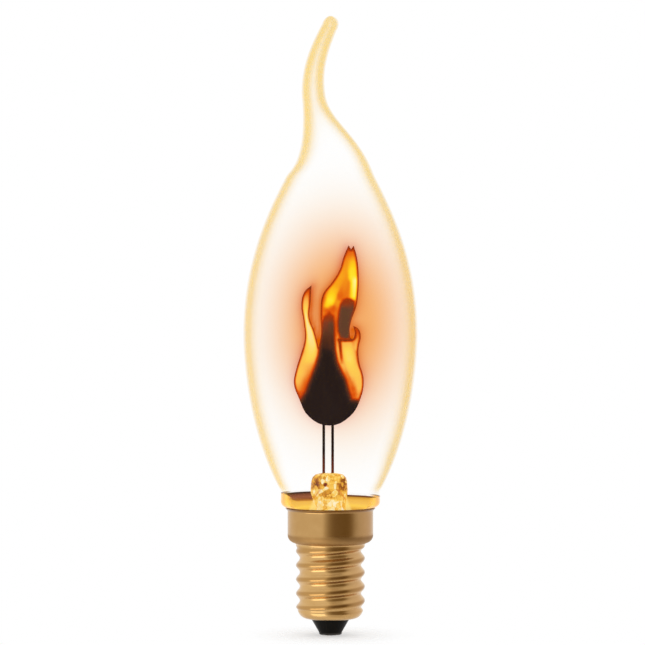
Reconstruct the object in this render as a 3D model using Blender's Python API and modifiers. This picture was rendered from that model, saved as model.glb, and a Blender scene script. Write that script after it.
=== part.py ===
"""A candle lamp with a bent glass tail, two flame-shaped plates that glow, and a small screw cap.

The lamp stands on its centre contact: the origin is on the lamp's axis at the contact, +Z runs up
to the tail, and the plates' fronts face -Y. Lengths are in metres.
"""

import math

import bmesh
import bpy
from mathutils import Vector

MM = 0.001

# Clearances between pieces that seat on, or pass through, each other
SEAT_GAP = 0.15 * MM
WIRE_GAP = 0.1 * MM

# Screw cap: a drawn sheet shell with a plain skirt above a rolled thread
SHELL_WALL = 0.3 * MM
SKIRT_RADIUS = 8.57 * MM
SKIRT_LENGTH = 4.6 * MM
LIP_RADIUS = 9.0 * MM
LIP_HEIGHT = 0.6 * MM
SHOULDER_ROUND = 1.6 * MM
THREAD_MAJOR_RADIUS = 6.9 * MM
THREAD_MINOR_RADIUS = 6.14 * MM
THREAD_PITCH = 2.822 * MM
THREAD_FIRST_CREST = 1.31 * MM
THREADED_LENGTH = 15.15 * MM
THREAD_RUN_OUT = 0.9 * MM
THREAD_BAND = 0.5 * MM
TURN_IN_HEIGHT = 1.5 * MM
TURN_IN_RADIUS = 3.95 * MM

# Insulator under the shell, with the contact set in its end
INSULATOR_DROP = 3.35 * MM
INSULATOR_TIP_RADIUS = 2.35 * MM
INSULATOR_TOP = 2.3 * MM
EYELET_RADIUS = 1.9 * MM
EYELET_THICKNESS = 0.3 * MM
EYELET_SHANK_RADIUS = 0.8 * MM
SOLDER_RADIUS = 1.2 * MM
SOLDER_FLAT_RADIUS = 0.9 * MM
SOLDER_HEIGHT = 0.4 * MM

# Glass envelope: a blown candle body, drawn out into a tail that sways to -X and comes back
GLASS_WALL = 0.5 * MM
GLASS_RADIUS = 17.5 * MM
GLASS_FOOT_RADIUS = 9.92 * MM
FOOT_ROUND = 1.2 * MM
FOOT_HEIGHT = 1.95 * MM
NECK_RADIUS = 7.2 * MM
NECK_DEPTH = 3.8 * MM
WIDEST_ABOVE_LIP = 34.7 * MM
LOWER_FULLNESS = 5.0 * MM
FOOT_FLARE = 6.6 * MM
FOOT_RISE = 11.5 * MM
UPPER_BODY_LENGTH = 48.4 * MM
UPPER_FULLNESS = 26.0 * MM
TAIL_FULLNESS = 11.3 * MM
TAIL_ROOT_RADIUS = 2.42 * MM
TAIL_NECK_RADIUS = 1.62 * MM
TAIL_TUBE_LENGTH = 14.1 * MM
TAIL_TIP_RADIUS = 1.72 * MM
TAIL_TIP_LENGTH = 2.6 * MM
TAIL_SWAY = 3.45 * MM
TAIL_SWAY_START = 32.0 * MM
TAIL_SWAY_RISE = 17.8 * MM
TAIL_RETURN = 4.8 * MM
TAIL_RETURN_RISE = 15.3 * MM
SWAY_ROUND = 6.5 * MM
RETURN_LEAN = 1.5 * MM

# Glass stem: a flare under the neck, a tube, and the flat press that holds the wires
FLARE_WALL = 0.6 * MM
STEM_TUBE_RADIUS = 3.05 * MM
STEM_WALL = 0.75 * MM
FLARE_HEIGHT = 3.4 * MM
STEM_TUBE_LENGTH = 0.9 * MM
PRESS_HEIGHT = 6.75 * MM
PRESS_HALF_WIDTH = 3.75 * MM
PRESS_HALF_DEPTH = 1.65 * MM
PRESS_OFFSET = -0.25 * MM
PRESS_SQUARENESS = 3.6
EXHAUST_RADIUS = 0.95 * MM
EXHAUST_WALL = 0.35 * MM
EXHAUST_LENGTH = 5.4 * MM
EXHAUST_BACK = 0.9 * MM
EXHAUST_X = -0.5 * MM
EXHAUST_HOLE_RADIUS = 0.32 * MM
EXHAUST_HOLE_DROP = 2.5 * MM

# Wires: a support wire, a seal wire in the press and an outer lead, end to end
WIRE_SPACING = 1.78 * MM
WIRES_CENTRE_X = -0.45 * MM
SUPPORT_WIRE_RADIUS = 0.275 * MM
SEAL_WIRE_RADIUS = 0.2 * MM
OUTER_LEAD_RADIUS = 0.16 * MM
SUPPORT_IN_PRESS = 1.4 * MM
WIRE_SHOWING = 9.55 * MM
WIRE_ON_PLATE = 4.2 * MM
WIRE_BEND_RISE = 1.6 * MM

# Flame plates: two thin sheets of one outline, face to face across a narrow space
PLATE_WIDTH = 14.0 * MM
PLATE_HEIGHT = 36.0 * MM
PLATE_THICKNESS = 0.3 * MM
PLATE_SPACE = 2.5 * MM

# Ballast resistor in the cap, in line with the right lead
RESISTOR_LENGTH = 6.3 * MM
RESISTOR_RADIUS = 1.15 * MM
RESISTOR_WAIST_RADIUS = 0.98 * MM
RESISTOR_LEAD_RADIUS = 0.25 * MM
RESISTOR_LEAD_LENGTH = 2.6 * MM
RIGHT_LEAD_LENGTH = 8.8 * MM
SPLICE_RADIUS = 0.6 * MM
SPLICE_LENGTH = 1.6 * MM

# Side contact: a lead through a small hole in the back of the skirt, under a bead of solder
SIDE_HOLE_RADIUS = 0.36 * MM
SIDE_HOLE_ANGLE = math.radians(150)
SIDE_HOLE_DROP = 4.75 * MM
SIDE_SOLDER_RADIUS = 1.2 * MM
SIDE_SOLDER_HEIGHT = 0.7 * MM

# Facets
GLASS_STEPS = 32
SHELL_STEPS = 28
SMALL_STEPS = 16
STEM_STEPS = 24
ROWS_PER_TURN = 6

# Heights that follow from the sizes above
SHELL_BOTTOM = INSULATOR_DROP
SHOULDER_BOTTOM = SHELL_BOTTOM + THREADED_LENGTH
SHOULDER_TOP = SHOULDER_BOTTOM + SHOULDER_ROUND
SKIRT_TOP = SHOULDER_TOP + SKIRT_LENGTH
LIP_TOP = SKIRT_TOP + LIP_HEIGHT
NECK_END = LIP_TOP - NECK_DEPTH
GLASS_FOOT = LIP_TOP + SEAT_GAP
WIDEST = LIP_TOP + WIDEST_ABOVE_LIP
TAIL_ROOT = WIDEST + UPPER_BODY_LENGTH
FLARE_RIM = NECK_END - WIRE_GAP
FLARE_BOTTOM = FLARE_RIM - FLARE_WALL
TUBE_BOTTOM = FLARE_RIM + FLARE_HEIGHT
PRESS_BOTTOM = TUBE_BOTTOM + STEM_TUBE_LENGTH
PRESS_TOP = PRESS_BOTTOM + PRESS_HEIGHT
BORE_TOP = PRESS_BOTTOM - STEM_WALL
PLATE_BOTTOM = PRESS_TOP + WIRE_SHOWING
PLATE_Y = (PLATE_SPACE + PLATE_THICKNESS) / 2
WIRE_X = {
    "left": WIRES_CENTRE_X - WIRE_SPACING / 2,
    "right": WIRES_CENTRE_X + WIRE_SPACING / 2,
}

# Outline of a flame plate, drawn 14 units wide and 36 high: across from the lamp's axis, and up
# from its lowest point. A sharp point is the tip of a tongue or the foot of a slot.
DRAWN_WIDTH, DRAWN_HEIGHT = 14.0, 36.0
SOFT, SHARP = "AUTO", "VECTOR"
FLAME_OUTLINE = (
    (-0.2, 0.0, SOFT), (-4.25, 1.75, SOFT), (-6.3, 5.5, SOFT), (-7.3, 8.5, SOFT),
    (-6.9, 11.0, SOFT), (-5.9, 14.3, SOFT), (-5.1, 17.4, SOFT), (-5.35, 20.8, SOFT),
    (-5.8, 24.3, SOFT), (-5.2, 26.7, SOFT), (-3.8, 28.0, SHARP), (-4.0, 24.6, SOFT),
    (-4.2, 21.6, SOFT), (-3.2, 18.8, SOFT), (-2.35, 15.6, SHARP), (-1.85, 18.4, SOFT),
    (-1.95, 22.6, SOFT), (-1.5, 26.2, SOFT), (0.4, 28.7, SOFT), (1.85, 31.1, SOFT),
    (2.6, 33.6, SOFT), (3.6, 36.0, SHARP), (4.15, 35.2, SHARP), (4.65, 35.95, SHARP),
    (5.3, 33.6, SOFT), (5.65, 29.6, SOFT), (5.5, 26.0, SOFT), (5.2, 23.9, SOFT),
    (4.55, 22.1, SOFT), (4.05, 20.6, SOFT), (3.85, 18.5, SOFT), (4.35, 17.3, SOFT),
    (4.9, 18.2, SOFT), (4.6, 19.9, SHARP), (5.6, 19.3, SOFT), (6.05, 18.0, SOFT),
    (5.6, 15.4, SOFT), (5.75, 12.7, SOFT), (6.65, 9.2, SOFT), (5.9, 5.1, SOFT),
    (3.8, 1.75, SOFT),
)


def clear_scene():
    for old in list(bpy.data.objects):
        bpy.data.objects.remove(old)


def add_collection(name):
    group = bpy.data.collections.new(name)
    bpy.context.scene.collection.children.link(group)
    return group


clear_scene()
LAMP = add_collection("flicker_flame_lamp")
CUTTERS = add_collection("cutters")


def finish(name, colour, roughness, metallic=0.0, transmission=0.0):
    """A plain material: linear colour, roughness, and how metallic or clear it is."""
    material = bpy.data.materials.new(name)
    material.use_nodes = True
    shader = material.node_tree.nodes["Principled BSDF"]
    shader.inputs["Base Color"].default_value = (*colour, 1)
    shader.inputs["Roughness"].default_value = roughness
    shader.inputs["Metallic"].default_value = metallic
    shader.inputs["Transmission Weight"].default_value = transmission
    return material


CLEAR_GLASS = finish("clear glass", (0.95, 0.87, 0.65), 0.03, transmission=0.9)
STEM_GLASS = finish("stem glass", (0.9, 0.68, 0.3), 0.08, transmission=0.7)
PLATE_COATING = finish("coated plate", (0.05, 0.03, 0.03), 0.8)
NICKEL = finish("nickel wire", (0.12, 0.08, 0.07), 0.45, metallic=0.8)
COPPER_CLAD = finish("copper-clad wire", (0.6, 0.2, 0.12), 0.4, metallic=1.0)
TINNED_COPPER = finish("tinned copper", (0.7, 0.6, 0.5), 0.35, metallic=1.0)
BRASS = finish("brass", (0.72, 0.5, 0.22), 0.28, metallic=1.0)
BLACK_GLASS = finish("black glass", (0.008, 0.008, 0.007), 0.2)
SOLDER = finish("solder", (0.6, 0.6, 0.6), 0.35, metallic=1.0)
CEMENT = finish("basing cement", (0.55, 0.42, 0.25), 0.9)
RESISTOR_LACQUER = finish("resistor lacquer", (0.62, 0.5, 0.33), 0.5)


def keep(name, data, material, group=LAMP):
    """Puts a mesh or a curve in the scene as a named object with its material."""
    data.name = name
    obj = bpy.data.objects.new(name, data)
    obj.data.materials.append(material)
    group.objects.link(obj)
    if group is CUTTERS:
        obj.hide_render = True
        obj.display_type = "WIRE"
    return obj


def evaluated_mesh(obj):
    """The object's mesh with its modifiers applied. The object itself is removed."""
    bpy.context.view_layer.update()
    graph = bpy.context.evaluated_depsgraph_get()
    mesh = bpy.data.meshes.new_from_object(obj.evaluated_get(graph))
    mesh.transform(obj.matrix_world)
    bpy.data.objects.remove(obj)
    return mesh


def shade_round(mesh, sharp_angle=math.radians(40)):
    mesh.shade_smooth()
    mesh.set_sharp_from_angle(angle=sharp_angle)


def bezier(start, start_handle, end_handle, end, count):
    """Points on a cubic curve, both ends included."""
    points = []
    for i in range(count + 1):
        t = i / count
        s = 1 - t
        weights = (s ** 3, 3 * s * s * t, 3 * s * t * t, t ** 3)
        corners = (start, start_handle, end_handle, end)
        points.append(tuple(sum(w * p[k] for w, p in zip(weights, corners)) for k in range(len(start))))
    return points


def arc(centre, radius, start_degrees, end_degrees, count):
    """Points on an arc in the plane of radius and height."""
    points = []
    for i in range(count + 1):
        angle = math.radians(start_degrees + (end_degrees - start_degrees) * i / count)
        points.append((centre[0] + radius * math.cos(angle), centre[1] + radius * math.sin(angle)))
    return points


def turned(name, profile, steps, material, closed=False, group=LAMP):
    """Turns a profile of (radius, height) points about the lamp's axis."""
    mesh = bpy.data.meshes.new(name)
    count = len(profile)
    edges = [(i, i + 1) for i in range(count - 1)]
    if closed:
        edges.append((count - 1, 0))
    mesh.from_pydata([(radius, 0, height) for radius, height in profile], edges, [])
    obj = keep(name, mesh, material, group)
    turn = obj.modifiers.new("Turn", "SCREW")
    turn.axis = "Z"
    turn.steps = steps
    turn.render_steps = steps
    turn.use_merge_vertices = True
    turn.merge_threshold = 0.00001
    turn.use_smooth_shade = True
    return obj


def tube(name, points, radius, material, group=LAMP):
    """A round wire along a list of points, with flat ends."""
    curve = bpy.data.curves.new(name, "CURVE")
    curve.dimensions = "3D"
    curve.bevel_depth = radius
    curve.bevel_resolution = 2
    curve.use_fill_caps = True
    spline = curve.splines.new("POLY")
    spline.points.add(len(points) - 1)
    for point, place in zip(spline.points, points):
        point.co = (*place, 1)
    return keep(name, curve, material, group)


def cutter_mesh(curve_object):
    """A curve made into a closed mesh, so that it can cut."""
    name = curve_object.name
    mesh = evaluated_mesh(curve_object)
    work = bmesh.new()
    work.from_mesh(mesh)
    bmesh.ops.remove_doubles(work, verts=work.verts, dist=0.000001)
    work.to_mesh(mesh)
    work.free()
    return keep(name, mesh, STEM_GLASS, CUTTERS)


def cut(obj, cutter):
    """Takes the cutter's shape out of the object."""
    difference = obj.modifiers.new("Cut " + cutter.name, "BOOLEAN")
    difference.operation = "DIFFERENCE"
    difference.solver = "EXACT"
    difference.object = cutter


def thicken_inwards(obj, wall):
    shell = obj.modifiers.new("Wall", "SOLIDIFY")
    shell.thickness = wall
    shell.offset = -1
    shell.use_even_offset = True


def step_between(low, high, value):
    """0 below low, 1 above high, and a smooth rise between."""
    t = min(max((value - low) / (high - low), 0), 1)
    return t * t * (3 - 2 * t)


def tail_line():
    """The tail's centre line as (x, z): off to -X, then back towards the axis."""
    start = WIDEST + TAIL_SWAY_START
    side = start + TAIL_SWAY_RISE
    top = side + TAIL_RETURN_RISE
    out = bezier((0, start), (0, start + SWAY_ROUND), (-TAIL_SWAY, side - SWAY_ROUND), (-TAIL_SWAY, side), 20)
    end_x = TAIL_RETURN - TAIL_SWAY
    lean = (end_x - RETURN_LEAN, top - SWAY_ROUND * 0.6)
    back = bezier((-TAIL_SWAY, side), (-TAIL_SWAY, side + SWAY_ROUND), lean, (end_x, top), 20)
    return [Vector(point) for point in out + back[1:]]


def bend_tail(mesh):
    """Sets each ring of the straight tail square to the tail's centre line."""
    line = tail_line()
    lengths = [0]
    for one, two in zip(line, line[1:]):
        lengths.append(lengths[-1] + (two - one).length)
    start = line[0].y
    for vertex in mesh.vertices:
        along = vertex.co.z - start
        if along <= 0:
            continue
        i = max(k for k in range(len(line) - 1) if lengths[k] <= along)
        heading = (line[i + 1] - line[i]).normalized()
        if 0 < i:
            before = (line[i] - line[i - 1]).normalized()
            share = min((along - lengths[i]) / (lengths[i + 1] - lengths[i]), 1)
            turned_to = before.lerp(heading, 0.5 + share / 2)
        else:
            turned_to = heading
        turned_to.normalize()
        centre = line[i] + heading * (along - lengths[i])
        across = vertex.co.x
        vertex.co.x = centre.x + across * turned_to.y
        vertex.co.z = centre.y - across * turned_to.x


def envelope_outline():
    """The envelope's outer surface from the tail's tip down to the open end of its neck."""
    tail_top = TAIL_ROOT + TAIL_TUBE_LENGTH
    tip = bezier(
        (0, tail_top + TAIL_TIP_LENGTH),
        (TAIL_TIP_RADIUS, tail_top + TAIL_TIP_LENGTH),
        (TAIL_TIP_RADIUS, tail_top + TAIL_TIP_LENGTH * 0.2),
        (TAIL_NECK_RADIUS, tail_top),
        4,
    )
    tail = [
        (TAIL_NECK_RADIUS + (TAIL_ROOT_RADIUS - TAIL_NECK_RADIUS) * i / 6, tail_top - TAIL_TUBE_LENGTH * i / 6)
        for i in range(1, 6)
    ]
    upper = bezier(
        (TAIL_ROOT_RADIUS, TAIL_ROOT),
        (TAIL_ROOT_RADIUS, TAIL_ROOT - TAIL_FULLNESS),
        (GLASS_RADIUS, WIDEST + UPPER_FULLNESS),
        (GLASS_RADIUS, WIDEST),
        13,
    )
    foot_top = GLASS_FOOT + FOOT_ROUND + FOOT_HEIGHT
    lower = bezier(
        (GLASS_RADIUS, WIDEST),
        (GLASS_RADIUS, WIDEST - LOWER_FULLNESS),
        (GLASS_FOOT_RADIUS + FOOT_FLARE, foot_top + FOOT_RISE),
        (GLASS_FOOT_RADIUS, foot_top),
        8,
    )
    foot = arc((GLASS_FOOT_RADIUS - FOOT_ROUND, GLASS_FOOT + FOOT_ROUND), FOOT_ROUND, 0, -90, 3)
    neck_round = GLASS_FOOT_RADIUS - FOOT_ROUND - NECK_RADIUS
    neck_top = (NECK_RADIUS + neck_round, GLASS_FOOT - neck_round)
    neck = arc(neck_top, neck_round, 90, 180, 3)
    return tip + tail + upper + lower[1:] + foot + neck[1:] + [(NECK_RADIUS, NECK_END)]


def make_envelope():
    blank = turned("blank", envelope_outline(), GLASS_STEPS, CLEAR_GLASS)
    mesh = evaluated_mesh(blank)
    bend_tail(mesh)
    shade_round(mesh)
    envelope = keep("glass_envelope", mesh, CLEAR_GLASS)
    thicken_inwards(envelope, GLASS_WALL)


def thread_height(angle, height):
    """How far the rolled right-hand thread stands off its mean radius.

    It starts below a plain band with the crest's radius, under the shoulder, and runs out at the foot.
    """
    turn = 2 * math.pi * (height - THREAD_FIRST_CREST) / THREAD_PITCH
    foot = SHELL_BOTTOM + TURN_IN_HEIGHT
    start = SHOULDER_BOTTOM - THREAD_BAND
    wave = math.cos(turn - angle) * step_between(foot, foot + THREAD_RUN_OUT, height)
    wave += (1 - wave) * step_between(start - THREAD_RUN_OUT, start, height)
    below_shoulder = step_between(-SHOULDER_BOTTOM, SHELL_WALL - SHOULDER_BOTTOM, -height)
    return (THREAD_MAJOR_RADIUS - THREAD_MINOR_RADIUS) / 2 * wave * below_shoulder


def shell_outline():
    """The shell's outer surface from the lip down to the edge that is turned in over the insulator."""
    mean = (THREAD_MAJOR_RADIUS + THREAD_MINOR_RADIUS) / 2
    lip = bezier(
        (LIP_RADIUS, LIP_TOP),
        (LIP_RADIUS - (LIP_RADIUS - SKIRT_RADIUS) * 0.1, LIP_TOP - LIP_HEIGHT / 3),
        (SKIRT_RADIUS, SKIRT_TOP + LIP_HEIGHT / 3),
        (SKIRT_RADIUS, SKIRT_TOP),
        3,
    )
    shoulder = arc((SKIRT_RADIUS - SHOULDER_ROUND, SHOULDER_TOP), SHOULDER_ROUND, 0, -82, 4)
    thread_bottom = SHELL_BOTTOM + TURN_IN_HEIGHT
    thread_top = SHOULDER_BOTTOM - SHELL_WALL
    rows = round((thread_top - thread_bottom) / THREAD_PITCH * ROWS_PER_TURN)
    thread = [(mean, thread_top + (thread_bottom - thread_top) * i / rows) for i in range(rows + 1)]
    turn_in = bezier(
        (mean, thread_bottom),
        (mean - TURN_IN_HEIGHT * 0.3, SHELL_BOTTOM + TURN_IN_HEIGHT * 0.3),
        (mean - TURN_IN_HEIGHT * 0.6, SHELL_BOTTOM),
        (TURN_IN_RADIUS, SHELL_BOTTOM),
        4,
    )
    return lip + shoulder + thread + turn_in[1:]


def make_shell():
    mesh = evaluated_mesh(turned("drawn shell", shell_outline(), SHELL_STEPS, BRASS))
    for vertex in mesh.vertices:
        angle = math.atan2(vertex.co.y, vertex.co.x)
        radius = math.hypot(vertex.co.x, vertex.co.y)
        scale = 1 + thread_height(angle, vertex.co.z) / radius
        vertex.co.x *= scale
        vertex.co.y *= scale
    shade_round(mesh)
    shell = keep("cap_shell", mesh, BRASS)
    thicken_inwards(shell, SHELL_WALL)
    inner, outer = SKIRT_RADIUS - 4 * SHELL_WALL, SKIRT_RADIUS + 4 * SHELL_WALL
    hole = tube("side_hole", [side_point(inner), side_point(outer)], SIDE_HOLE_RADIUS, BRASS)
    cut(shell, cutter_mesh(hole))


def side_point(radius):
    """A point level with the side contact's hole, in its direction, at this distance from the axis."""
    x, y = radius * math.cos(SIDE_HOLE_ANGLE), radius * math.sin(SIDE_HOLE_ANGLE)
    return (x, y, LIP_TOP - SIDE_HOLE_DROP)


def make_insulator():
    """Black glass cast into the shell's end: a disc inside, a waist in the opening and a cone below."""
    mean = (THREAD_MAJOR_RADIUS + THREAD_MINOR_RADIUS) / 2
    floor = SHELL_BOTTOM + SHELL_WALL + SEAT_GAP
    inside = THREAD_MINOR_RADIUS - SHELL_WALL - 2 * SEAT_GAP
    waist = TURN_IN_RADIUS - SEAT_GAP
    slope_top = floor + TURN_IN_HEIGHT
    slope_foot = mean - TURN_IN_HEIGHT * 0.6 - SHELL_WALL - 2 * SEAT_GAP
    tip = SOLDER_HEIGHT * 0.5
    seat = SOLDER_HEIGHT + SEAT_GAP + EYELET_THICKNESS + SEAT_GAP
    bore = EYELET_SHANK_RADIUS + SEAT_GAP
    profile = [
        (bore, floor + INSULATOR_TOP),
        (inside, floor + INSULATOR_TOP),
        (inside, slope_top),
        (slope_foot, floor),
        (waist, floor),
        (waist, SHELL_BOTTOM - SEAT_GAP),
        (INSULATOR_TIP_RADIUS, tip + INSULATOR_DROP * 0.15),
        (EYELET_RADIUS + 2 * SEAT_GAP, tip),
        (EYELET_RADIUS + SEAT_GAP, tip),
        (EYELET_RADIUS + SEAT_GAP, seat),
        (bore, seat),
    ]
    turned("cap_insulator", profile, SHELL_STEPS, BLACK_GLASS, closed=True)


def make_contact():
    """The eyelet in the insulator's end, and the solder that closes it over the lead."""
    disc_low = SOLDER_HEIGHT + SEAT_GAP
    disc_high = disc_low + EYELET_THICKNESS
    top = SHELL_BOTTOM + SHELL_WALL + SEAT_GAP + INSULATOR_TOP
    bore = RESISTOR_LEAD_RADIUS + WIRE_GAP
    eyelet = [
        (EYELET_SHANK_RADIUS, top),
        (EYELET_SHANK_RADIUS, disc_high),
        (EYELET_RADIUS, disc_high),
        (EYELET_RADIUS, disc_low),
        (bore, disc_low),
        (bore, top),
    ]
    turned("contact_eyelet", eyelet, SMALL_STEPS, BRASS, closed=True)
    dome = bezier(
        (SOLDER_FLAT_RADIUS * 0.6, SOLDER_HEIGHT),
        (SOLDER_RADIUS * 1.1, SOLDER_HEIGHT),
        (SOLDER_RADIUS * 1.1, SOLDER_HEIGHT * 0.3),
        (SOLDER_FLAT_RADIUS, 0),
        5,
    )
    turned("centre_solder", [(0, SOLDER_HEIGHT)] + dome + [(0, 0)], SMALL_STEPS, SOLDER)


def make_cement():
    """The ring of cement between the neck and the skirt."""
    inner = NECK_RADIUS + SEAT_GAP
    outer = SKIRT_RADIUS - SHELL_WALL - SEAT_GAP
    neck_round = GLASS_FOOT_RADIUS - FOOT_ROUND - NECK_RADIUS
    top = GLASS_FOOT - neck_round - SEAT_GAP
    profile = [(inner, top), (outer, top), (outer, NECK_END), (inner, NECK_END)]
    turned("basing_cement", profile, SHELL_STEPS, CEMENT, closed=True)


def stem_sections():
    """Heights with half width, half depth and squareness: a flare, a tube, and the press above it."""
    rim = [(FLARE_BOTTOM, NECK_RADIUS, NECK_RADIUS, 2, 0)]
    flare = bezier(
        (NECK_RADIUS, FLARE_RIM),
        (NECK_RADIUS - FLARE_HEIGHT * 0.6, FLARE_RIM + FLARE_WALL / 2),
        (STEM_TUBE_RADIUS, TUBE_BOTTOM - FLARE_HEIGHT * 0.6),
        (STEM_TUBE_RADIUS, TUBE_BOTTOM),
        6,
    )
    round_part = [(height, radius, radius, 2, 0) for radius, height in flare]
    tube_end = (PRESS_BOTTOM, STEM_TUBE_RADIUS, STEM_TUBE_RADIUS, 2, 0)
    # Shares of the press's height, half width, half depth and offset, with the squareness of the section
    press = (
        (0.2, 0.89, 1.42, 2.6, 0.5),
        (0.4, 0.99, 1.09, PRESS_SQUARENESS, 1),
        (0.52, 1, 1, PRESS_SQUARENESS, 1),
        (0.76, 0.96, 1, PRESS_SQUARENESS, 1),
        (0.88, 0.89, 0.91, PRESS_SQUARENESS, 1),
        (0.96, 0.73, 0.73, 3, 1),
        (1, 0.41, 0.39, 2.4, 1),
    )
    shaped = [
        (
            PRESS_BOTTOM + PRESS_HEIGHT * up,
            PRESS_HALF_WIDTH * width,
            PRESS_HALF_DEPTH * depth,
            square,
            PRESS_OFFSET * offset,
        )
        for up, width, depth, square, offset in press
    ]
    return rim + round_part + [tube_end] + shaped


def loft(sections, around):
    """A closed skin over rounded sections that run up the lamp."""
    work = bmesh.new()
    rings = []
    for height, half_width, half_depth, squareness, shift in sections:
        ring = []
        for i in range(around):
            angle = 2 * math.pi * i / around
            c, s = math.cos(angle), math.sin(angle)
            x = half_width * math.copysign(abs(c) ** (2 / squareness), c)
            y = half_depth * math.copysign(abs(s) ** (2 / squareness), s)
            ring.append(work.verts.new((x + shift, y, height)))
        rings.append(ring)
    for low, high in zip(rings, rings[1:]):
        for i in range(around):
            j = (i + 1) % around
            work.faces.new((low[i], low[j], high[j], high[i]))
    work.faces.new(reversed(rings[0]))
    work.faces.new(rings[-1])
    mesh = bpy.data.meshes.new("loft")
    work.to_mesh(mesh)
    work.free()
    return mesh


def make_stem():
    mesh = loft(stem_sections(), STEM_STEPS)
    shade_round(mesh)
    stem = keep("glass_stem", mesh, STEM_GLASS)
    bore_radius = STEM_TUBE_RADIUS - STEM_WALL
    mouth = bezier(
        (bore_radius, TUBE_BOTTOM - FLARE_WALL),
        (bore_radius, TUBE_BOTTOM - FLARE_HEIGHT * 0.6 - FLARE_WALL),
        (NECK_RADIUS - FLARE_HEIGHT * 0.6 - FLARE_WALL, FLARE_BOTTOM + FLARE_WALL / 2),
        (NECK_RADIUS - FLARE_WALL, FLARE_BOTTOM),
        6,
    )
    below = FLARE_BOTTOM - FLARE_WALL
    crown = arc((bore_radius / 2, BORE_TOP - bore_radius / 2), bore_radius / 2, 90, 0, 3)
    bore = [(0, BORE_TOP)] + crown + mouth + [(NECK_RADIUS - FLARE_WALL, below), (0, below)]
    cut(stem, turned("stem_bore", bore, SMALL_STEPS, STEM_GLASS, group=CUTTERS))
    for side, x in WIRE_X.items():
        ends = [(x, 0, BORE_TOP - bore_radius), (x, 0, PRESS_TOP + STEM_WALL)]
        hole = tube(side + "_wire_hole", ends, SUPPORT_WIRE_RADIUS + WIRE_GAP, STEM_GLASS)
        cut(stem, cutter_mesh(hole))
    hole_height = PRESS_TOP - EXHAUST_HOLE_DROP
    passage = [
        (EXHAUST_X, EXHAUST_BACK, BORE_TOP - bore_radius),
        (EXHAUST_X, EXHAUST_BACK, hole_height - EXHAUST_BACK),
        (EXHAUST_X, 0, hole_height),
        (EXHAUST_X, -2 * PRESS_HALF_DEPTH, hole_height),
    ]
    cut(stem, cutter_mesh(tube("exhaust_passage", passage, EXHAUST_HOLE_RADIUS, STEM_GLASS)))


def make_exhaust_tube():
    """The tube through which the lamp is emptied and filled: open at the press, melted shut below."""
    top = BORE_TOP - STEM_TUBE_RADIUS / 2
    bottom = top - EXHAUST_LENGTH
    inner = EXHAUST_RADIUS - EXHAUST_WALL
    tip = bezier(
        (EXHAUST_RADIUS, bottom + 2 * EXHAUST_RADIUS),
        (EXHAUST_RADIUS, bottom + EXHAUST_RADIUS),
        (EXHAUST_WALL, bottom + EXHAUST_WALL),
        (0, bottom),
        5,
    )
    hollow_end = bottom + 2 * EXHAUST_RADIUS
    profile = [(EXHAUST_RADIUS, top)] + tip + [(0, hollow_end), (inner, hollow_end + inner), (inner, top)]
    exhaust = turned("exhaust_tube", profile, SMALL_STEPS, STEM_GLASS, closed=True)
    exhaust.location = (EXHAUST_X, EXHAUST_BACK, 0)


def make_plate(name, y):
    """A flame cut from thin sheet, standing upright across the lamp."""
    curve = bpy.data.curves.new(name, "CURVE")
    curve.dimensions = "2D"
    curve.fill_mode = "BOTH"
    curve.resolution_u = 4
    curve.extrude = PLATE_THICKNESS / 2
    spline = curve.splines.new("BEZIER")
    spline.use_cyclic_u = True
    spline.bezier_points.add(len(FLAME_OUTLINE) - 1)
    for point, (across, up, handle) in zip(spline.bezier_points, FLAME_OUTLINE):
        point.co = (across * PLATE_WIDTH / DRAWN_WIDTH, up * PLATE_HEIGHT / DRAWN_HEIGHT, 0)
        point.handle_left_type = handle
        point.handle_right_type = handle
    plate = keep(name, curve, PLATE_COATING)
    plate.rotation_euler = (math.radians(90), 0, 0)
    plate.location = (0, y, PLATE_BOTTOM)


def make_wires():
    """Each wire runs from the space between the plates, through the press, into the cap."""
    support_foot = PRESS_TOP - SUPPORT_IN_PRESS
    seal_foot = PRESS_BOTTOM
    clear = PLATE_SPACE / 2 - SUPPORT_WIRE_RADIUS - WIRE_GAP
    bend_start = PRESS_TOP + WIRE_BEND_RISE
    bend_end = PLATE_BOTTOM - WIRE_BEND_RISE
    for side, towards in (("left", -1), ("right", 1)):
        x = WIRE_X[side]
        y = towards * clear
        bend = bezier(
            (x, 0, bend_start),
            (x, 0, bend_start + WIRE_BEND_RISE),
            (x, y, bend_end - WIRE_BEND_RISE),
            (x, y, bend_end),
            8,
        )
        line = [(x, 0, support_foot)] + bend + [(x, y, PLATE_BOTTOM + WIRE_ON_PLATE)]
        tube(side + "_support_wire", line, SUPPORT_WIRE_RADIUS, NICKEL)
        tube(side + "_seal_wire", [(x, 0, seal_foot), (x, 0, support_foot)], SEAL_WIRE_RADIUS, COPPER_CLAD)


def make_outer_leads():
    """The left lead goes to the hole in the skirt, the right lead down to the resistor."""
    x = WIRE_X["left"]
    lead_z = LIP_TOP - SIDE_HOLE_DROP
    start_z = FLARE_BOTTOM + FLARE_WALL
    turn = side_point(SKIRT_RADIUS * 0.6)
    bend = bezier((x, 0, start_z), (x, 0, lead_z), side_point(SKIRT_RADIUS * 0.35), turn, 8)
    line = [(x, 0, PRESS_BOTTOM)] + bend + [side_point(SKIRT_RADIUS)]
    tube("left_outer_lead", line, OUTER_LEAD_RADIUS, TINNED_COPPER)
    x = WIRE_X["right"]
    ends = [(x, 0, PRESS_BOTTOM - RIGHT_LEAD_LENGTH), (x, 0, PRESS_BOTTOM)]
    tube("right_outer_lead", ends, OUTER_LEAD_RADIUS, TINNED_COPPER)


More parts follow.
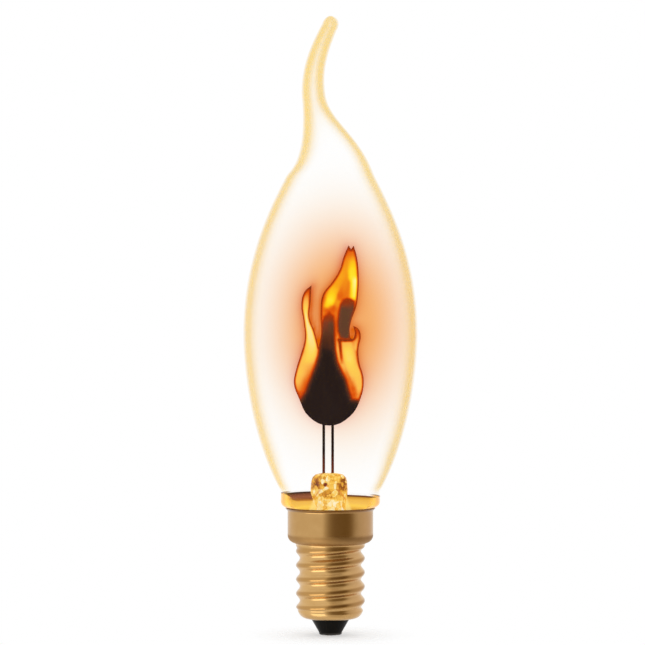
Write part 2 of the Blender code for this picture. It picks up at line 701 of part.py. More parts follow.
def make_resistor():
    """The resistor hangs from the right lead, and its lower lead runs down into the eyelet."""
    x = WIRE_X["right"]
    joint = PRESS_BOTTOM - RIGHT_LEAD_LENGTH
    body_top = joint - RESISTOR_LEAD_LENGTH
    body_bottom = body_top - RESISTOR_LENGTH
    cap = RESISTOR_LENGTH * 0.22
    end_round = RESISTOR_RADIUS * 0.4
    profile = [(0, body_top)]
    profile += arc((RESISTOR_RADIUS - end_round, body_top - end_round), end_round, 90, 0, 3)
    profile += [(RESISTOR_RADIUS, body_top - cap * 0.8), (RESISTOR_WAIST_RADIUS, body_top - cap)]
    profile += [(RESISTOR_WAIST_RADIUS, body_bottom + cap), (RESISTOR_RADIUS, body_bottom + cap * 0.8)]
    profile += arc((RESISTOR_RADIUS - end_round, body_bottom + end_round), end_round, 0, -90, 3)
    profile += [(0, body_bottom)]
    body = turned("resistor_body", profile, SMALL_STEPS, RESISTOR_LACQUER)
    body.location = (x, 0, 0)
    upper = [(x, 0, body_top), (x, 0, joint)]
    tube("resistor_upper_lead", upper, RESISTOR_LEAD_RADIUS, TINNED_COPPER)
    eyelet_top = SHELL_BOTTOM + SHELL_WALL + SEAT_GAP + INSULATOR_TOP
    straight = eyelet_top + RESISTOR_LEAD_RADIUS
    middle = (straight + body_bottom) / 2
    bend = bezier((x, 0, body_bottom), (x, 0, middle), (0, 0, middle), (0, 0, straight), 8)
    line = bend + [(0, 0, SOLDER_HEIGHT + SEAT_GAP)]
    tube("resistor_lower_lead", line, RESISTOR_LEAD_RADIUS, TINNED_COPPER)
    bore = RESISTOR_LEAD_RADIUS + WIRE_GAP
    low, high = joint - SPLICE_LENGTH / 2, joint + SPLICE_LENGTH / 2
    edge = (SPLICE_RADIUS - bore) / 2
    sleeve = [(bore, high), (bore + edge, high)]
    sleeve += [(SPLICE_RADIUS, high - edge), (SPLICE_RADIUS, low + edge)]
    sleeve += [(bore + edge, low), (bore, low)]
    splice = turned("lead_splice", sleeve, SMALL_STEPS, SOLDER, closed=True)
    splice.location = (x, 0, 0)


def make_side_solder():
    """A bead of solder over the hole in the skirt."""
    dome = bezier(
        (0, SIDE_SOLDER_HEIGHT),
        (SIDE_SOLDER_RADIUS * 0.7, SIDE_SOLDER_HEIGHT),
        (SIDE_SOLDER_RADIUS, SIDE_SOLDER_HEIGHT * 0.6),
        (SIDE_SOLDER_RADIUS, 0),
        5,
    )
    bead = turned("side_solder", dome + [(0, 0)], SMALL_STEPS, SOLDER)
    bead.rotation_euler = (0, math.radians(90), SIDE_HOLE_ANGLE)
    bead.location = side_point(SKIRT_RADIUS + SEAT_GAP)


make_envelope()
make_stem()
make_exhaust_tube()
make_plate("front_flame_plate", -PLATE_Y)
make_plate("back_flame_plate", PLATE_Y)
make_wires()
make_outer_leads()
make_resistor()
make_shell()
make_insulator()
make_contact()
make_side_solder()
make_cement()
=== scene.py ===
# %% [markdown]
# This lesson dresses a small decorative lamp: a candle-shaped glass whose drawn-out tail bends to
# one side, two flame-shaped plates that glow on their wires, a pressed glass stem and a brass
# screw cap. The shapes and sizes come from a fixed frame. The lesson adds finer surfaces where a
# curve shows, and a finish for every piece.

# %% Load the frame
import math

import bmesh
import bpy
import numpy as np
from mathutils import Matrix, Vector
from mathutils.geometry import delaunay_2d_cdt


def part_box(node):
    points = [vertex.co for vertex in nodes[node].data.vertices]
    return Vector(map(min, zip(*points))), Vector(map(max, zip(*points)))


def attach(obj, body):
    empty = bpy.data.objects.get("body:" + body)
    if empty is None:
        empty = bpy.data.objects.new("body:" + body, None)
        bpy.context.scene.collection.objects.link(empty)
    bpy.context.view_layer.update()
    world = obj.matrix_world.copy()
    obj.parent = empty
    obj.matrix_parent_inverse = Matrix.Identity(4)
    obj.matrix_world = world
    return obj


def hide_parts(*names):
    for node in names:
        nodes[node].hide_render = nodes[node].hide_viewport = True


MM = 0.001
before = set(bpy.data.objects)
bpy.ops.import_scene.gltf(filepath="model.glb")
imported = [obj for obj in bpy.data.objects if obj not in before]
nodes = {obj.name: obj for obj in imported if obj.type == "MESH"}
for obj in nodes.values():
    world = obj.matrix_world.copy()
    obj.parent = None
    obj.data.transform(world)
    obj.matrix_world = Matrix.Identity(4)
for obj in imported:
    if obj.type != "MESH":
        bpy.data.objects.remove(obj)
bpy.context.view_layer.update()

# %% [markdown]
# The camera stands level with the middle of the lamp and far away, so the lamp is drawn almost
# without perspective. Its place follows from the photograph: one pixel is 0.2003 mm at the lamp's
# axis, the axis stands 330.4 pixels from the left, and the lamp's foot is at line 635 of 645.

# %% Camera
PIXEL = 0.2003 * MM
FRAME_PIXELS = 645
AXIS_COLUMN = 330.4
FOOT_LINE = 635
CAMERA_DISTANCE = 500 * MM
SENSOR = 36
NEAREST_SEEN = 10 * MM

camera_data = bpy.data.cameras.new("camera")
camera_data.sensor_width = SENSOR
camera_data.lens = SENSOR * CAMERA_DISTANCE / (FRAME_PIXELS * PIXEL)
camera_data.clip_start = NEAREST_SEEN
camera = bpy.data.objects.new("camera", camera_data)
camera.location = (
    (FRAME_PIXELS / 2 - AXIS_COLUMN) * PIXEL,
    -CAMERA_DISTANCE,
    (FOOT_LINE - FRAME_PIXELS / 2) * PIXEL,
)
camera.rotation_euler = (math.radians(90), 0, 0)
bpy.context.scene.collection.objects.link(camera)
bpy.context.scene.camera = camera
bpy.context.scene.view_settings.view_transform = "Standard"
print("camera: lens", round(camera_data.lens, 1), "mm, height", round(camera.location.z / MM, 1), "mm")

# %% [markdown]
# A finish is one Principled shader with a few nodes in front of it. Two small helpers keep that
# readable. A Wire is an output socket that can be added, subtracted, multiplied and divided like a
# number, and each such step adds a Math node. Its other methods add the few nodes that most
# finishes need: a soft step, a mix of colours, a ramp, a noise and a bump.

# %% Wires between nodes
class Wire:
    """An output socket. Arithmetic on it adds Math nodes to its finish."""

    def __init__(self, finish, socket):
        self.finish = finish
        self.socket = socket

    def maths(self, operation, first, second=0.0):
        return self.finish.add("ShaderNodeMath", {"operation": operation}, {0: first, 1: second})

    def __add__(self, other):
        return self.maths("ADD", self, other)

    def __radd__(self, other):
        return self.maths("ADD", other, self)

    def __sub__(self, other):
        return self.maths("SUBTRACT", self, other)

    def __rsub__(self, other):
        return self.maths("SUBTRACT", other, self)

    def __mul__(self, other):
        return self.maths("MULTIPLY", self, other)

    def __rmul__(self, other):
        return self.maths("MULTIPLY", other, self)

    def __truediv__(self, other):
        return self.maths("DIVIDE", self, other)

    def __pow__(self, other):
        return self.maths("POWER", self, other)

    def step(self, low, high):
        """A soft step: 0 before low and 1 past high, or the other way where low is the larger."""
        sockets = {"Value": self, "From Min": low, "From Max": high}
        return self.finish.add("ShaderNodeMapRange", {"interpolation_type": "SMOOTHSTEP"}, sockets)

    def between(self, low, high, soft=0.4):
        """1 where the value lies between low and high, with soft ends."""
        return self.step(low - soft, low + soft) * self.step(high + soft, high - soft)

    def mix(self, first, second):
        """The first colour where this is 0, and the second where it is 1."""
        sockets = {0: self, 6: first, 7: second}
        return self.finish.add("ShaderNodeMix", {"data_type": "RGBA"}, sockets, output=2)

    def ramp(self, stops):
        return self.finish.add("ShaderNodeValToRGB", {"stops": stops}, {0: self})

    def stretched(self, scales):
        """A place times a scale for each direction, for streaks."""
        return self.finish.add("ShaderNodeVectorMath", {"operation": "MULTIPLY"}, {0: self, 1: scales})

    def noise(self, scale, detail=3.0):
        sockets = {"Vector": self, "Scale": scale, "Detail": detail, "Roughness": 0.5}
        return self.finish.add("ShaderNodeTexNoise", inputs=sockets)

    def bump(self, distance, strength=1.0):
        sockets = {"Height": self, "Distance": distance, "Strength": strength}
        return self.finish.add("ShaderNodeBump", inputs=sockets)


print("wires are ready")

# %% [markdown]
# A Finish makes the material and adds every node. Place is read in the lamp's own frame, in
# millimetres, so a pattern stays on the lamp when the camera moves.

# %% Finishes
SOCKETS = {
    "colour": "Base Color",
    "metal": "Metallic",
    "rough": "Roughness",
    "alpha": "Alpha",
    "normal": "Normal",
    "coat": "Coat Weight",
    "coat_rough": "Coat Roughness",
    "specular": "Specular IOR Level",
    "glow": "Emission Color",
    "glow_strength": "Emission Strength",
}


class Finish:
    """A material with one Principled shader, whose constants are set on its own sockets."""

    def __init__(self, name, **constants):
        self.material = bpy.data.materials.new(name)
        self.material.use_nodes = True
        self.tree = self.material.node_tree
        self.shader = self.tree.nodes["Principled BSDF"]
        for socket, value in constants.items():
            self.shader.inputs[SOCKETS[socket]].default_value = value

    def add(self, kind, settings=None, inputs=None, output=0):
        """Adds a node, makes its settings, joins its inputs and returns one output as a Wire."""
        node = self.tree.nodes.new(kind)
        for setting, value in (settings or {}).items():
            if setting == "stops":
                self.set_stops(node.color_ramp, value)
            else:
                setattr(node, setting, value)
        for place, value in (inputs or {}).items():
            self.join(value, node.inputs[place])
        return Wire(self, node.outputs[output])

    def set_stops(self, ramp, stops):
        while len(ramp.elements) < len(stops):
            ramp.elements.new(1)
        for element, (position, colour) in zip(ramp.elements, stops):
            element.position = position
            element.color = colour

    def join(self, value, socket):
        if isinstance(value, Wire):
            self.tree.links.new(value.socket, socket)
        else:
            socket.default_value = value

    def feed(self, **wires):
        """Joins wires to the shader's sockets."""
        for socket, wire in wires.items():
            self.join(wire, self.shader.inputs[SOCKETS[socket]])

    def place(self):
        """The object's own coordinates, as one vector wire and three numbers in millimetres."""
        spot = self.add("ShaderNodeTexCoord", output=3)
        parts = [self.add("ShaderNodeSeparateXYZ", inputs={0: spot}, output=i) / MM for i in range(3)]
        return spot, parts

    def stored(self, name):
        """A number that the mesh carries on its points."""
        return self.add("ShaderNodeAttribute", {"attribute_name": name}, output=2)

    def seen_from_behind(self):
        """1 where the eye meets the back of a face, and 0 where it meets the front."""
        return self.add("ShaderNodeNewGeometry", output=6)

    def lights_nothing(self):
        """The glow is seen but isn't used as a lamp, where it would only add grain."""
        self.material.cycles.emission_sampling = "NONE"


def tint(red, green, blue):
    """A display colour from 0 to 255 as the linear values that a shader takes."""
    levels = []
    for value in (red, green, blue):
        share = value / 255
        levels.append(share / 12.92 if share <= 0.04045 else ((share + 0.055) / 1.055) ** 2.4)
    return (*levels, 1)


def grey(level):
    return (level, level, level, 1)


def dress(obj, *materials):
    """Gives an object these materials in place of the ones it has."""
    obj.data.materials.clear()
    for material in materials:
        obj.data.materials.append(material)


print("finishes are ready")

# %% [markdown]
# Turned pieces, such as the glass and the cap, are a profile spun about the lamp's axis. Blender
# has a Screw modifier for that. Here the rings are made in numpy instead, because each ring then
# carries its own radius as an attribute, and the thread and the tail's bend move points ring by ring.

# %% Helpers for shapes
SAME_POINT = 0.001 * MM


def bezier(start, start_handle, end_handle, end, count):
    """Points on a cubic curve, both ends included."""
    corners = np.array((start, start_handle, end_handle, end), float)
    t = np.linspace(0, 1, count + 1)[:, None]
    weights = np.hstack(((1 - t) ** 3, 3 * (1 - t) ** 2 * t, 3 * (1 - t) * t ** 2, t ** 3))
    return weights @ corners


def arc(centre, radius, start_degrees, end_degrees, count):
    angles = np.radians(np.linspace(start_degrees, end_degrees, count + 1))
    return np.column_stack((centre[0] + radius * np.cos(angles), centre[1] + radius * np.sin(angles)))


def straight(start, end, count):
    return np.linspace(start, end, count + 1)


def outline_of(*pieces):
    """Several stretches of (radius, height) points as one outline, without double points."""
    points = np.vstack(pieces)
    apart = np.linalg.norm(np.diff(points, axis=0), axis=1) > SAME_POINT
    return points[np.concatenate(([True], apart))]


def spun_rings(outline, steps):
    """The outline turned about the axis, as an array of rings by steps by (x, y, z)."""
    angles = np.linspace(0, 2 * math.pi, steps, endpoint=False)
    radii, heights = outline[:, :1], outline[:, 1:]
    return np.stack(
        (radii * np.cos(angles), radii * np.sin(angles), np.repeat(heights, steps, axis=1)), axis=2
    )


def mesh_from_rings(name, rings):
    """A smooth skin over rings that run from the top down. A first or last ring of no size is a pole."""
    count, steps = rings.shape[:2]
    points = rings.reshape(-1, 3)
    near = np.arange(steps)
    far = (near + 1) % steps
    faces = []
    for i in range(count - 1):
        high, low = i * steps, (i + 1) * steps
        faces += np.column_stack((high + near, low + near, low + far, high + far)).tolist()
    mesh = bpy.data.meshes.new(name)
    mesh.from_pydata(points.tolist(), [], faces)
    shape = bmesh.new()
    shape.from_mesh(mesh)
    bmesh.ops.remove_doubles(shape, verts=shape.verts, dist=SAME_POINT / 2)
    shape.to_mesh(mesh)
    shape.free()
    mesh.shade_smooth()
    return mesh


def add_wall(obj, thickness):
    """Gives a thin skin its wall, towards the inside."""
    wall = obj.modifiers.new("wall", "SOLIDIFY")
    wall.thickness = thickness
    wall.offset = -1
    wall.use_even_offset = True
    return wall


def store(mesh, name, values):
    """Keeps one number for each point, which a finish can read by its name."""
    attribute = mesh.attributes.new(name, "FLOAT", "POINT")
    attribute.data.foreach_set("value", np.asarray(values, np.float32))


def add_object(name, mesh):
    obj = bpy.data.objects.new(name, mesh)
    bpy.context.scene.collection.objects.link(obj)
    return obj


def settle(obj, slot, *replaced):
    """Hangs a piece of the lamp on the root body and hides the pieces that it stands for; slot is not
    used.
    """
    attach(obj, "root")
    if replaced:
        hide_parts(*replaced)
    print(obj.name + ":", len(obj.data.vertices), "points")


print("shape helpers are ready")

# %% [markdown]
# The glass was blown as a candle shape and its top was drawn out, while hot, into a thin tail
# that sways to the left and comes back. It could be sculpted, but an outline with a few full
# curves keeps it as smooth as blown glass. The rings of the tail are then set square to a curved
# centre line, which is what bending a hot tube does.

# %% Outline of the glass
glass_low, glass_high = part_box("glass_envelope")
lip_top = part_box("cap_shell")[1].z
GLASS_RADIUS = glass_high.y
GLASS_WALL = 0.5 * MM
SEAT_GAP = 0.15 * MM
NECK_RADIUS = 7.2 * MM
FOOT_RADIUS = 9.92 * MM
FOOT_ROUND = 1.2 * MM
FOOT_HEIGHT = 1.95 * MM
WIDEST = lip_top + 34.7 * MM
TAIL_ROOT = WIDEST + 48.4 * MM
TAIL_ROOT_RADIUS = 2.42 * MM
TAIL_TOP = TAIL_ROOT + 14.1 * MM
TAIL_TOP_RADIUS = 1.62 * MM
TIP_RADIUS = 1.72 * MM
TIP_LENGTH = 2.35 * MM
TIP_SHARPNESS = 0.2
UPPER_FULLNESS = 26.0 * MM
TAIL_FULLNESS = 11.3 * MM
LOWER_FULLNESS = 5.0 * MM
FOOT_FLARE = 6.6 * MM
FOOT_RISE = 11.5 * MM


def glass_outline():
    """The outer surface from the tail's tip down to the open end of the neck."""
    tip = bezier(
        (0, TAIL_TOP + TIP_LENGTH),
        (TIP_RADIUS, TAIL_TOP + TIP_LENGTH),
        (TIP_RADIUS, TAIL_TOP + TIP_LENGTH * TIP_SHARPNESS),
        (TAIL_TOP_RADIUS, TAIL_TOP),
        count=16,
    )
    tail = straight((TAIL_TOP_RADIUS, TAIL_TOP), (TAIL_ROOT_RADIUS, TAIL_ROOT), count=30)
    upper = bezier(
        (TAIL_ROOT_RADIUS, TAIL_ROOT),
        (TAIL_ROOT_RADIUS, TAIL_ROOT - TAIL_FULLNESS),
        (GLASS_RADIUS, WIDEST + UPPER_FULLNESS),
        (GLASS_RADIUS, WIDEST),
        count=72,
    )
    glass_foot = lip_top + SEAT_GAP
    foot_top = glass_foot + FOOT_ROUND + FOOT_HEIGHT
    lower = bezier(
        (GLASS_RADIUS, WIDEST),
        (GLASS_RADIUS, WIDEST - LOWER_FULLNESS),
        (FOOT_RADIUS + FOOT_FLARE, foot_top + FOOT_RISE),
        (FOOT_RADIUS, foot_top),
        count=44,
    )
    foot = arc((FOOT_RADIUS - FOOT_ROUND, glass_foot + FOOT_ROUND), FOOT_ROUND, 0, -90, count=10)
    neck_round = FOOT_RADIUS - FOOT_ROUND - NECK_RADIUS
    neck = arc((FOOT_RADIUS - FOOT_ROUND, glass_foot - neck_round), neck_round, 90, 180, count=8)
    end = straight((NECK_RADIUS, glass_foot - neck_round), (NECK_RADIUS, glass_low.z), count=4)
    return outline_of(tip, tail, upper, lower, foot, neck, end)


outline = glass_outline()
print("glass outline:", len(outline), "points, up to", round(outline[:, 1].max() / MM, 1), "mm")

# %% Bend of the tail
SWAY_START = WIDEST + 32.0 * MM
SWAY_TURN = SWAY_START + 17.8 * MM
SWAY_END = SWAY_TURN + 15.3 * MM
SWAY = 3.45 * MM
SWAY_RETURN = 4.8 * MM
SWAY_ROUND = 6.5 * MM
RETURN_LEAN = 1.5 * MM
RETURN_SHARE = 0.6


def tail_line():
    """The tail's centre line as (x, z): off to the left, then back towards the axis."""
    start = (0, SWAY_START)
    turn = (-SWAY, SWAY_TURN)
    end = (SWAY_RETURN - SWAY, SWAY_END)
    rising = (0, SWAY_START + SWAY_ROUND)
    leaning = (end[0] - RETURN_LEAN, SWAY_END - SWAY_ROUND * RETURN_SHARE)
    out = bezier(start, rising, (-SWAY, SWAY_TURN - SWAY_ROUND), turn, count=60)
    back = bezier(turn, (-SWAY, SWAY_TURN + SWAY_ROUND), leaning, end, count=60)
    return outline_of(out, back)


def bend(rings, heights):
    """Sets each ring above the start of the sway square to the centre line."""
    line = tail_line()
    lengths = np.concatenate(([0], np.cumsum(np.linalg.norm(np.diff(line, axis=0), axis=1))))
    headings = np.gradient(line, lengths, axis=0)
    for i, height in enumerate(heights):
        along = height - SWAY_START
        if along <= 0:
            continue
        centre = [np.interp(along, lengths, line[:, k]) for k in range(2)]
        heading = np.array([np.interp(along, lengths, headings[:, k]) for k in range(2)])
        heading /= np.linalg.norm(heading)
        beyond = max(along - lengths[-1], 0)
        across = rings[i, :, 0].copy()
        rings[i, :, 0] = centre[0] + across * heading[1] + beyond * heading[0]
        rings[i, :, 2] = centre[1] - across * heading[0] + beyond * heading[1]
    return rings


print("tail: centre line of", len(tail_line()), "points")

# %% [markdown]
# The fine glass is one skin of rings with a Solidify modifier for the wall. Two numbers are stored
# on its points for the finish: the radius of the ring, and how near the point lies to the outline
# of the flames, seen from the front. The finish can't measure either of them itself. The outline
# comes first: it is the rim of the plate's flat face, walked from edge to edge.

# %% Outline of the flame plate
ON_FACE = 0.01 * MM
front_low, front_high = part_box("front_flame_plate")
back_low, back_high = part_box("back_flame_plate")


def plate_outline(node, face_y):
    """The loop of (x, z) points round the flat face of a plate that lies at face_y."""
    shape = bmesh.new()
    shape.from_mesh(nodes[node].data)
    bmesh.ops.remove_doubles(shape, verts=shape.verts, dist=SAME_POINT)
    face_edges = {}
    for polygon in shape.faces:
        if all(abs(vertex.co.y - face_y) < ON_FACE for vertex in polygon.verts):
            for edge_line in polygon.edges:
                face_edges[edge_line] = face_edges.get(edge_line, 0) + 1
    rim = [edge_line for edge_line, count in face_edges.items() if count == 1]
    neighbours = {}
    for edge_line in rim:
        first, second = edge_line.verts
        neighbours.setdefault(first, []).append(second)
        neighbours.setdefault(second, []).append(first)
    loop = [rim[0].verts[0], rim[0].verts[1]]
    while True:
        following = [vertex for vertex in neighbours[loop[-1]] if vertex is not loop[-2]][0]
        if following is loop[0]:
            break
        loop.append(following)
    found = np.array([(vertex.co.x, vertex.co.z) for vertex in loop])
    shape.free()
    return found


flame_outline = plate_outline("front_flame_plate", front_low.y)
print("flame outline:", len(flame_outline), "points")

# %% Distances for the flame
def nearest_on(points, line):
    """For each (x, z) point, its distance to a line of points and where along it that is, from 0 to 1."""
    best = np.full(len(points), 1e9)
    along = np.zeros(len(points))
    count = len(line) - 1
    for i in range(count):
        start, end = line[i], line[i + 1]
        reach = end - start
        length_squared = max(float(reach @ reach), 1e-12)
        share = np.clip(((points - start) @ reach) / length_squared, 0, 1)
        gap = np.linalg.norm(points - (start + share[:, None] * reach), axis=1)
        closer = gap < best
        best[closer] = gap[closer]
        along[closer] = (i + share[closer]) / count
    return best, along


def closed(loop):
    return np.vstack((loop, loop[:1]))


def inside(points, loop):
    """True for each point that lies inside the loop."""
    crossed = np.zeros(len(points), bool)
    for start, end in zip(loop, np.roll(loop, -1, axis=0)):
        spans = (start[1] > points[:, 1]) != (end[1] > points[:, 1])
        if start[1] != end[1]:
            cut_x = start[0] + (points[:, 1] - start[1]) * (end[0] - start[0]) / (end[1] - start[1])
            crossed ^= spans & (points[:, 0] < cut_x)
    return crossed


def signed_depth(points, loop):
    """How deep each point lies inside the loop: negative outside."""
    gap, _ = nearest_on(points, closed(loop))
    return np.where(inside(points, loop), gap, -gap)


def rise(value, low, high):
    """A soft step for arrays of numbers."""
    share = np.clip((value - low) / (high - low), 0, 1)
    return share * share * (3 - 2 * share)


print("distance helpers are ready")

# %% Glass envelope
GLASS_STEPS = 160
EMBER_REACH = 1.1 * MM
HIDDEN_EMBER = 0.6
HIDDEN_FROM, HIDDEN_TO = 0.2 * MM, 1.0 * MM

rings = bend(spun_rings(outline, GLASS_STEPS), outline[:, 1])
glass_mesh = mesh_from_rings("blown_envelope", rings)
blown_envelope = add_object("blown_envelope", glass_mesh)
points = np.empty(len(glass_mesh.vertices) * 3, np.float32)
glass_mesh.vertices.foreach_get("co", points)
points = points.reshape(-1, 3)
tail_centre = tail_line()
centre_x = np.interp(points[:, 2], tail_centre[:, 1], tail_centre[:, 0])
centre_x[points[:, 2] < SWAY_START] = 0
store(glass_mesh, "ring_radius", np.hypot(points[:, 0] - centre_x, points[:, 1]) / MM)
behind = signed_depth(points[:, [0, 2]].astype(float), flame_outline)
ember_share = np.exp(-np.clip(-behind, 0, None) / EMBER_REACH)
ember_share *= 1 - (1 - HIDDEN_EMBER) * rise(behind, HIDDEN_FROM, HIDDEN_TO)
store(glass_mesh, "ember", ember_share)

wall = add_wall(blown_envelope, GLASS_WALL)
wall.material_offset = 1
wall.material_offset_rim = 1
settle(blown_envelope, "envelope_glass", "glass_envelope")

# %% [markdown]
# Clear glass shows at its edge, where the eye looks along the wall. The outer skin carries that
# amber line, and at the foot the thick ring of glass. There the gold is a painted reflection of the
# brass cap, also given as glow, with painted shade at its ends and a brown painted shade line at its
# lower edge. It is a thin layer of one Principled shader whose Alpha says how much of the layer is seen,
# so the flames show through without the cost of real refraction.

# %% How far across a round glass is seen
def seen_across(finish):
    """The ring's radius, and how far from its middle a point on it is seen, in millimetres.

    Layer Weight's Facing is 0 where the glass faces the eye and 1 at its edge. A wall that slopes
    faces the eye less, so that is divided out with the level part of its normal.
    """
    radius = finish.stored("ring_radius")
    facing = finish.add("ShaderNodeLayerWeight", inputs={"Blend": 0.5}, output=1)
    normal = finish.add("ShaderNodeNewGeometry", output=1)
    slope = finish.add("ShaderNodeSeparateXYZ", inputs={0: normal}, output=2)
    level = (1 - slope * slope) ** 0.5
    towards = finish.add("ShaderNodeMath", {"operation": "MINIMUM"}, {0: (1 - facing) / level, 1: 1.0})
    return radius, radius * (1 - towards * towards) ** 0.5


print("the outer skin is measured from its edge")

# %% Rim of the outer skin
EDGE_REACH = 4.0
NARROWER_AT_FOOT = 1.1
NARROWING = (37.0, 30.0)
EDGE_FADING = (30.0, 28.5)
EDGE_LOST = 0.75
edge_stops = (
    (0.0, grey(0.063)),
    (0.05, grey(0.18)),
    (0.1, grey(0.315)),
    (0.15, grey(0.42)),
    (0.21, grey(0.45)),
    (0.27, grey(0.445)),
    (0.34, grey(0.39)),
    (0.41, grey(0.3)),
    (0.5, grey(0.19)),
    (0.62, grey(0.1)),
    (0.78, grey(0.033)),
    (1.0, grey(0.004)),
)

amber_glass = Finish("amber_glass", rough=0.04, specular=0.25, glow_strength=0.35)
spot, (x, _, z) = amber_glass.place()
radius, across = seen_across(amber_glass)
depth = radius - across
edge_reach = EDGE_REACH - NARROWER_AT_FOOT * z.step(*NARROWING)
edge = (depth / edge_reach).ramp(edge_stops)
streaks = spot.stretched((500, 500, 60)).noise(1.0, 2.0)
edge = edge * (0.88 + streaks * 0.3) * (1 - z.step(*EDGE_FADING) * EDGE_LOST)
rim_amber = streaks.mix(tint(239, 198, 0), tint(244, 204, 40))
print("rim:", len(edge_stops), "steps of amber")

# %% Foot of the outer skin
SLANT = (-3.0, 3.0)
FOOT_TOP_LEFT, FOOT_TOP_FALL = 28.5, 0.62
FOOT_BOTTOM = 25.45
FOOT_ENDS = (2.4, 0.9)
END_SHADE = (1.2, 0.4)
DARK_DEPTH = 1.2
DARK_LEFT, DARK_RIGHT = (-10.4, -7.2), (0.0, -3.0)
DARK_SOFT = (0.14, -0.12)

# The foot's gold is a painted reflection of the brass cap, also fed to the glow. The dark hollow and the
# top line on the far wall, the brown lower line and the darker ends are painted shade.
foot_top = FOOT_TOP_LEFT - FOOT_TOP_FALL * x.step(*SLANT)
below_top = foot_top - z
foot = below_top.step(-0.08, 0.1)
foot_shade_line = z.step(FOOT_BOTTOM + 0.32, FOOT_BOTTOM + 0.1)
foot_edge = depth.step(*FOOT_ENDS)
on_far_wall = amber_glass.seen_from_behind()
dark_floor = DARK_DEPTH * x.step(*DARK_LEFT) * x.step(*DARK_RIGHT)
far_hollow_shade = (below_top - dark_floor).step(*DARK_SOFT) * on_far_wall
top_shade_line = below_top.step(0.34, 0.1) * on_far_wall
end_shade = depth.step(*END_SHADE)
foot_painted_gold = end_shade.mix(tint(240, 184, 74), tint(214, 158, 60))
foot_painted_gold = far_hollow_shade.mix(foot_painted_gold, tint(132, 70, 28))
foot_painted_gold = top_shade_line.mix(foot_painted_gold, tint(84, 42, 10))
foot_painted_gold = foot_shade_line.mix(foot_painted_gold, tint(132, 90, 40))
window = (below_top - dark_floor + 0.6).step(*DARK_SOFT) * (1 - on_far_wall)
foot_alpha = 0.06 + foot_edge * 0.86 + foot_shade_line * (1 - foot_edge) * 0.8
foot_alpha = foot_alpha * (1 - window * 0.92)
amber_glass.feed(
    colour=foot.mix(rim_amber, foot_painted_gold),
    glow=foot.mix(grey(0.0), foot_painted_gold),
    alpha=edge * (1 - foot) + foot * foot_alpha,
    rough=0.04 + foot * 0.06,
)
print("foot of the glass: gold between", FOOT_BOTTOM, "and", FOOT_TOP_LEFT, "mm")

# %% [markdown]
# Round the plates the gas itself glows, strongest close to them and fading towards the glass. A
# volume would show that, but slowly and with grain, and a glowing sheet between the plates would be
# a thing the lamp doesn't have. Here the inner skin of the glass carries the glow. Its faces look
# inwards, so from any side the far wall shows its front, and the near wall, seen from behind, stays
# clear. The foot's gold, a painted reflection of the brass cap, lies on the far wall as well, as
# glow, with a painted dark hollow of shade to the left and a thin dark painted line to the right.

# %% Glow of the gas
GLOW_X, GLOW_Z = 1.95, 62.5
GLOW_HALF_WIDTH, GLOW_HALF_HEIGHT = 13.55, 20.15
GLOW_FADING = (0.39, 1.75)

inner_glass = Finish("inner_glass", colour=grey(0.0), rough=0.3, specular=0.0, glow_strength=1.0)
spot, (x, _, z) = inner_glass.place()
from_behind = inner_glass.seen_from_behind()
oval = (((x - GLOW_X) / GLOW_HALF_WIDTH) ** 2.0 + ((z - GLOW_Z) / GLOW_HALF_HEIGHT) ** 2.0) ** 0.5
cloud = spot.noise(130.0, 2.0)
strength = 1 - (oval + (cloud - 0.5) * 0.04).step(*GLOW_FADING)
glow_colour = strength.mix((0.96, 0.8, 0.56, 1), (0.93, 0.45, 0.16, 1))
glow_colour = inner_glass.stored("ember").mix(glow_colour, (0.72, 0.115, 0.0, 1))
print("glow: centred", GLOW_Z, "mm up")

# %% Painted reflection of the cap in the foot
GOLD_TOP_LEFT, GOLD_TOP_FALL = 28.22, 0.72
GOLD_SPAN = 3.9
LEFT_HALF = (-1.0, -3.0)
DEEPER_AT_LEFT = 1.0
HOLLOW_DEPTH = 1.9
HOLLOW_LEFT, HOLLOW_RIGHT = (-10.8, -6.4), (4.0, -2.0)
STEM_HALF, STEM_FLARE, FLARE_TOP = 3.0, 0.45, 27.4
painted_gold_stops = (
    (0.0, tint(96, 48, 6)),
    (0.08, tint(118, 62, 10)),
    (0.13, tint(206, 146, 36)),
    (0.24, tint(236, 178, 66)),
    (0.38, tint(244, 190, 80)),
    (0.5, tint(255, 210, 88)),
    (0.58, tint(246, 194, 78)),
    (0.67, tint(222, 162, 60)),
    (1.0, tint(196, 134, 48)),
)
hollow_shade_stops = (
    (0.0, tint(48, 20, 4)),
    (0.14, tint(66, 30, 8)),
    (0.3, tint(124, 64, 30)),
    (0.55, tint(150, 84, 48)),
    (0.8, tint(142, 74, 22)),
    (1.0, tint(196, 118, 24)),
)

# The gold is a painted reflection of the brass cap, given as glow. The dark hollow is painted shade, and
# the pale patch beside the stem is a painted reflection of the stem.
gold_top = GOLD_TOP_LEFT - GOLD_TOP_FALL * x.step(*SLANT)
gold_noise = spot.stretched((160, 160, 900)).noise(1.0, 3.0)
gold_depth = gold_top - z + (gold_noise - 0.5) * 0.2
gold_place = gold_depth - DEEPER_AT_LEFT * x.step(*LEFT_HALF)
gold = (gold_place / GOLD_SPAN).ramp(painted_gold_stops)
hollow_floor = HOLLOW_DEPTH * x.step(*HOLLOW_LEFT) * x.step(*HOLLOW_RIGHT)
hollow_shade = (gold_depth - hollow_floor).step(0.12, -0.12)
gold = hollow_shade.mix(gold, (gold_depth / HOLLOW_DEPTH).ramp(hollow_shade_stops))
beside_stem = (x * x) ** 0.5 - STEM_HALF - (FLARE_TOP - z) * STEM_FLARE
flare_reflection = beside_stem.step(0.4, -0.3) * z.step(FLARE_TOP, FLARE_TOP - 0.5)
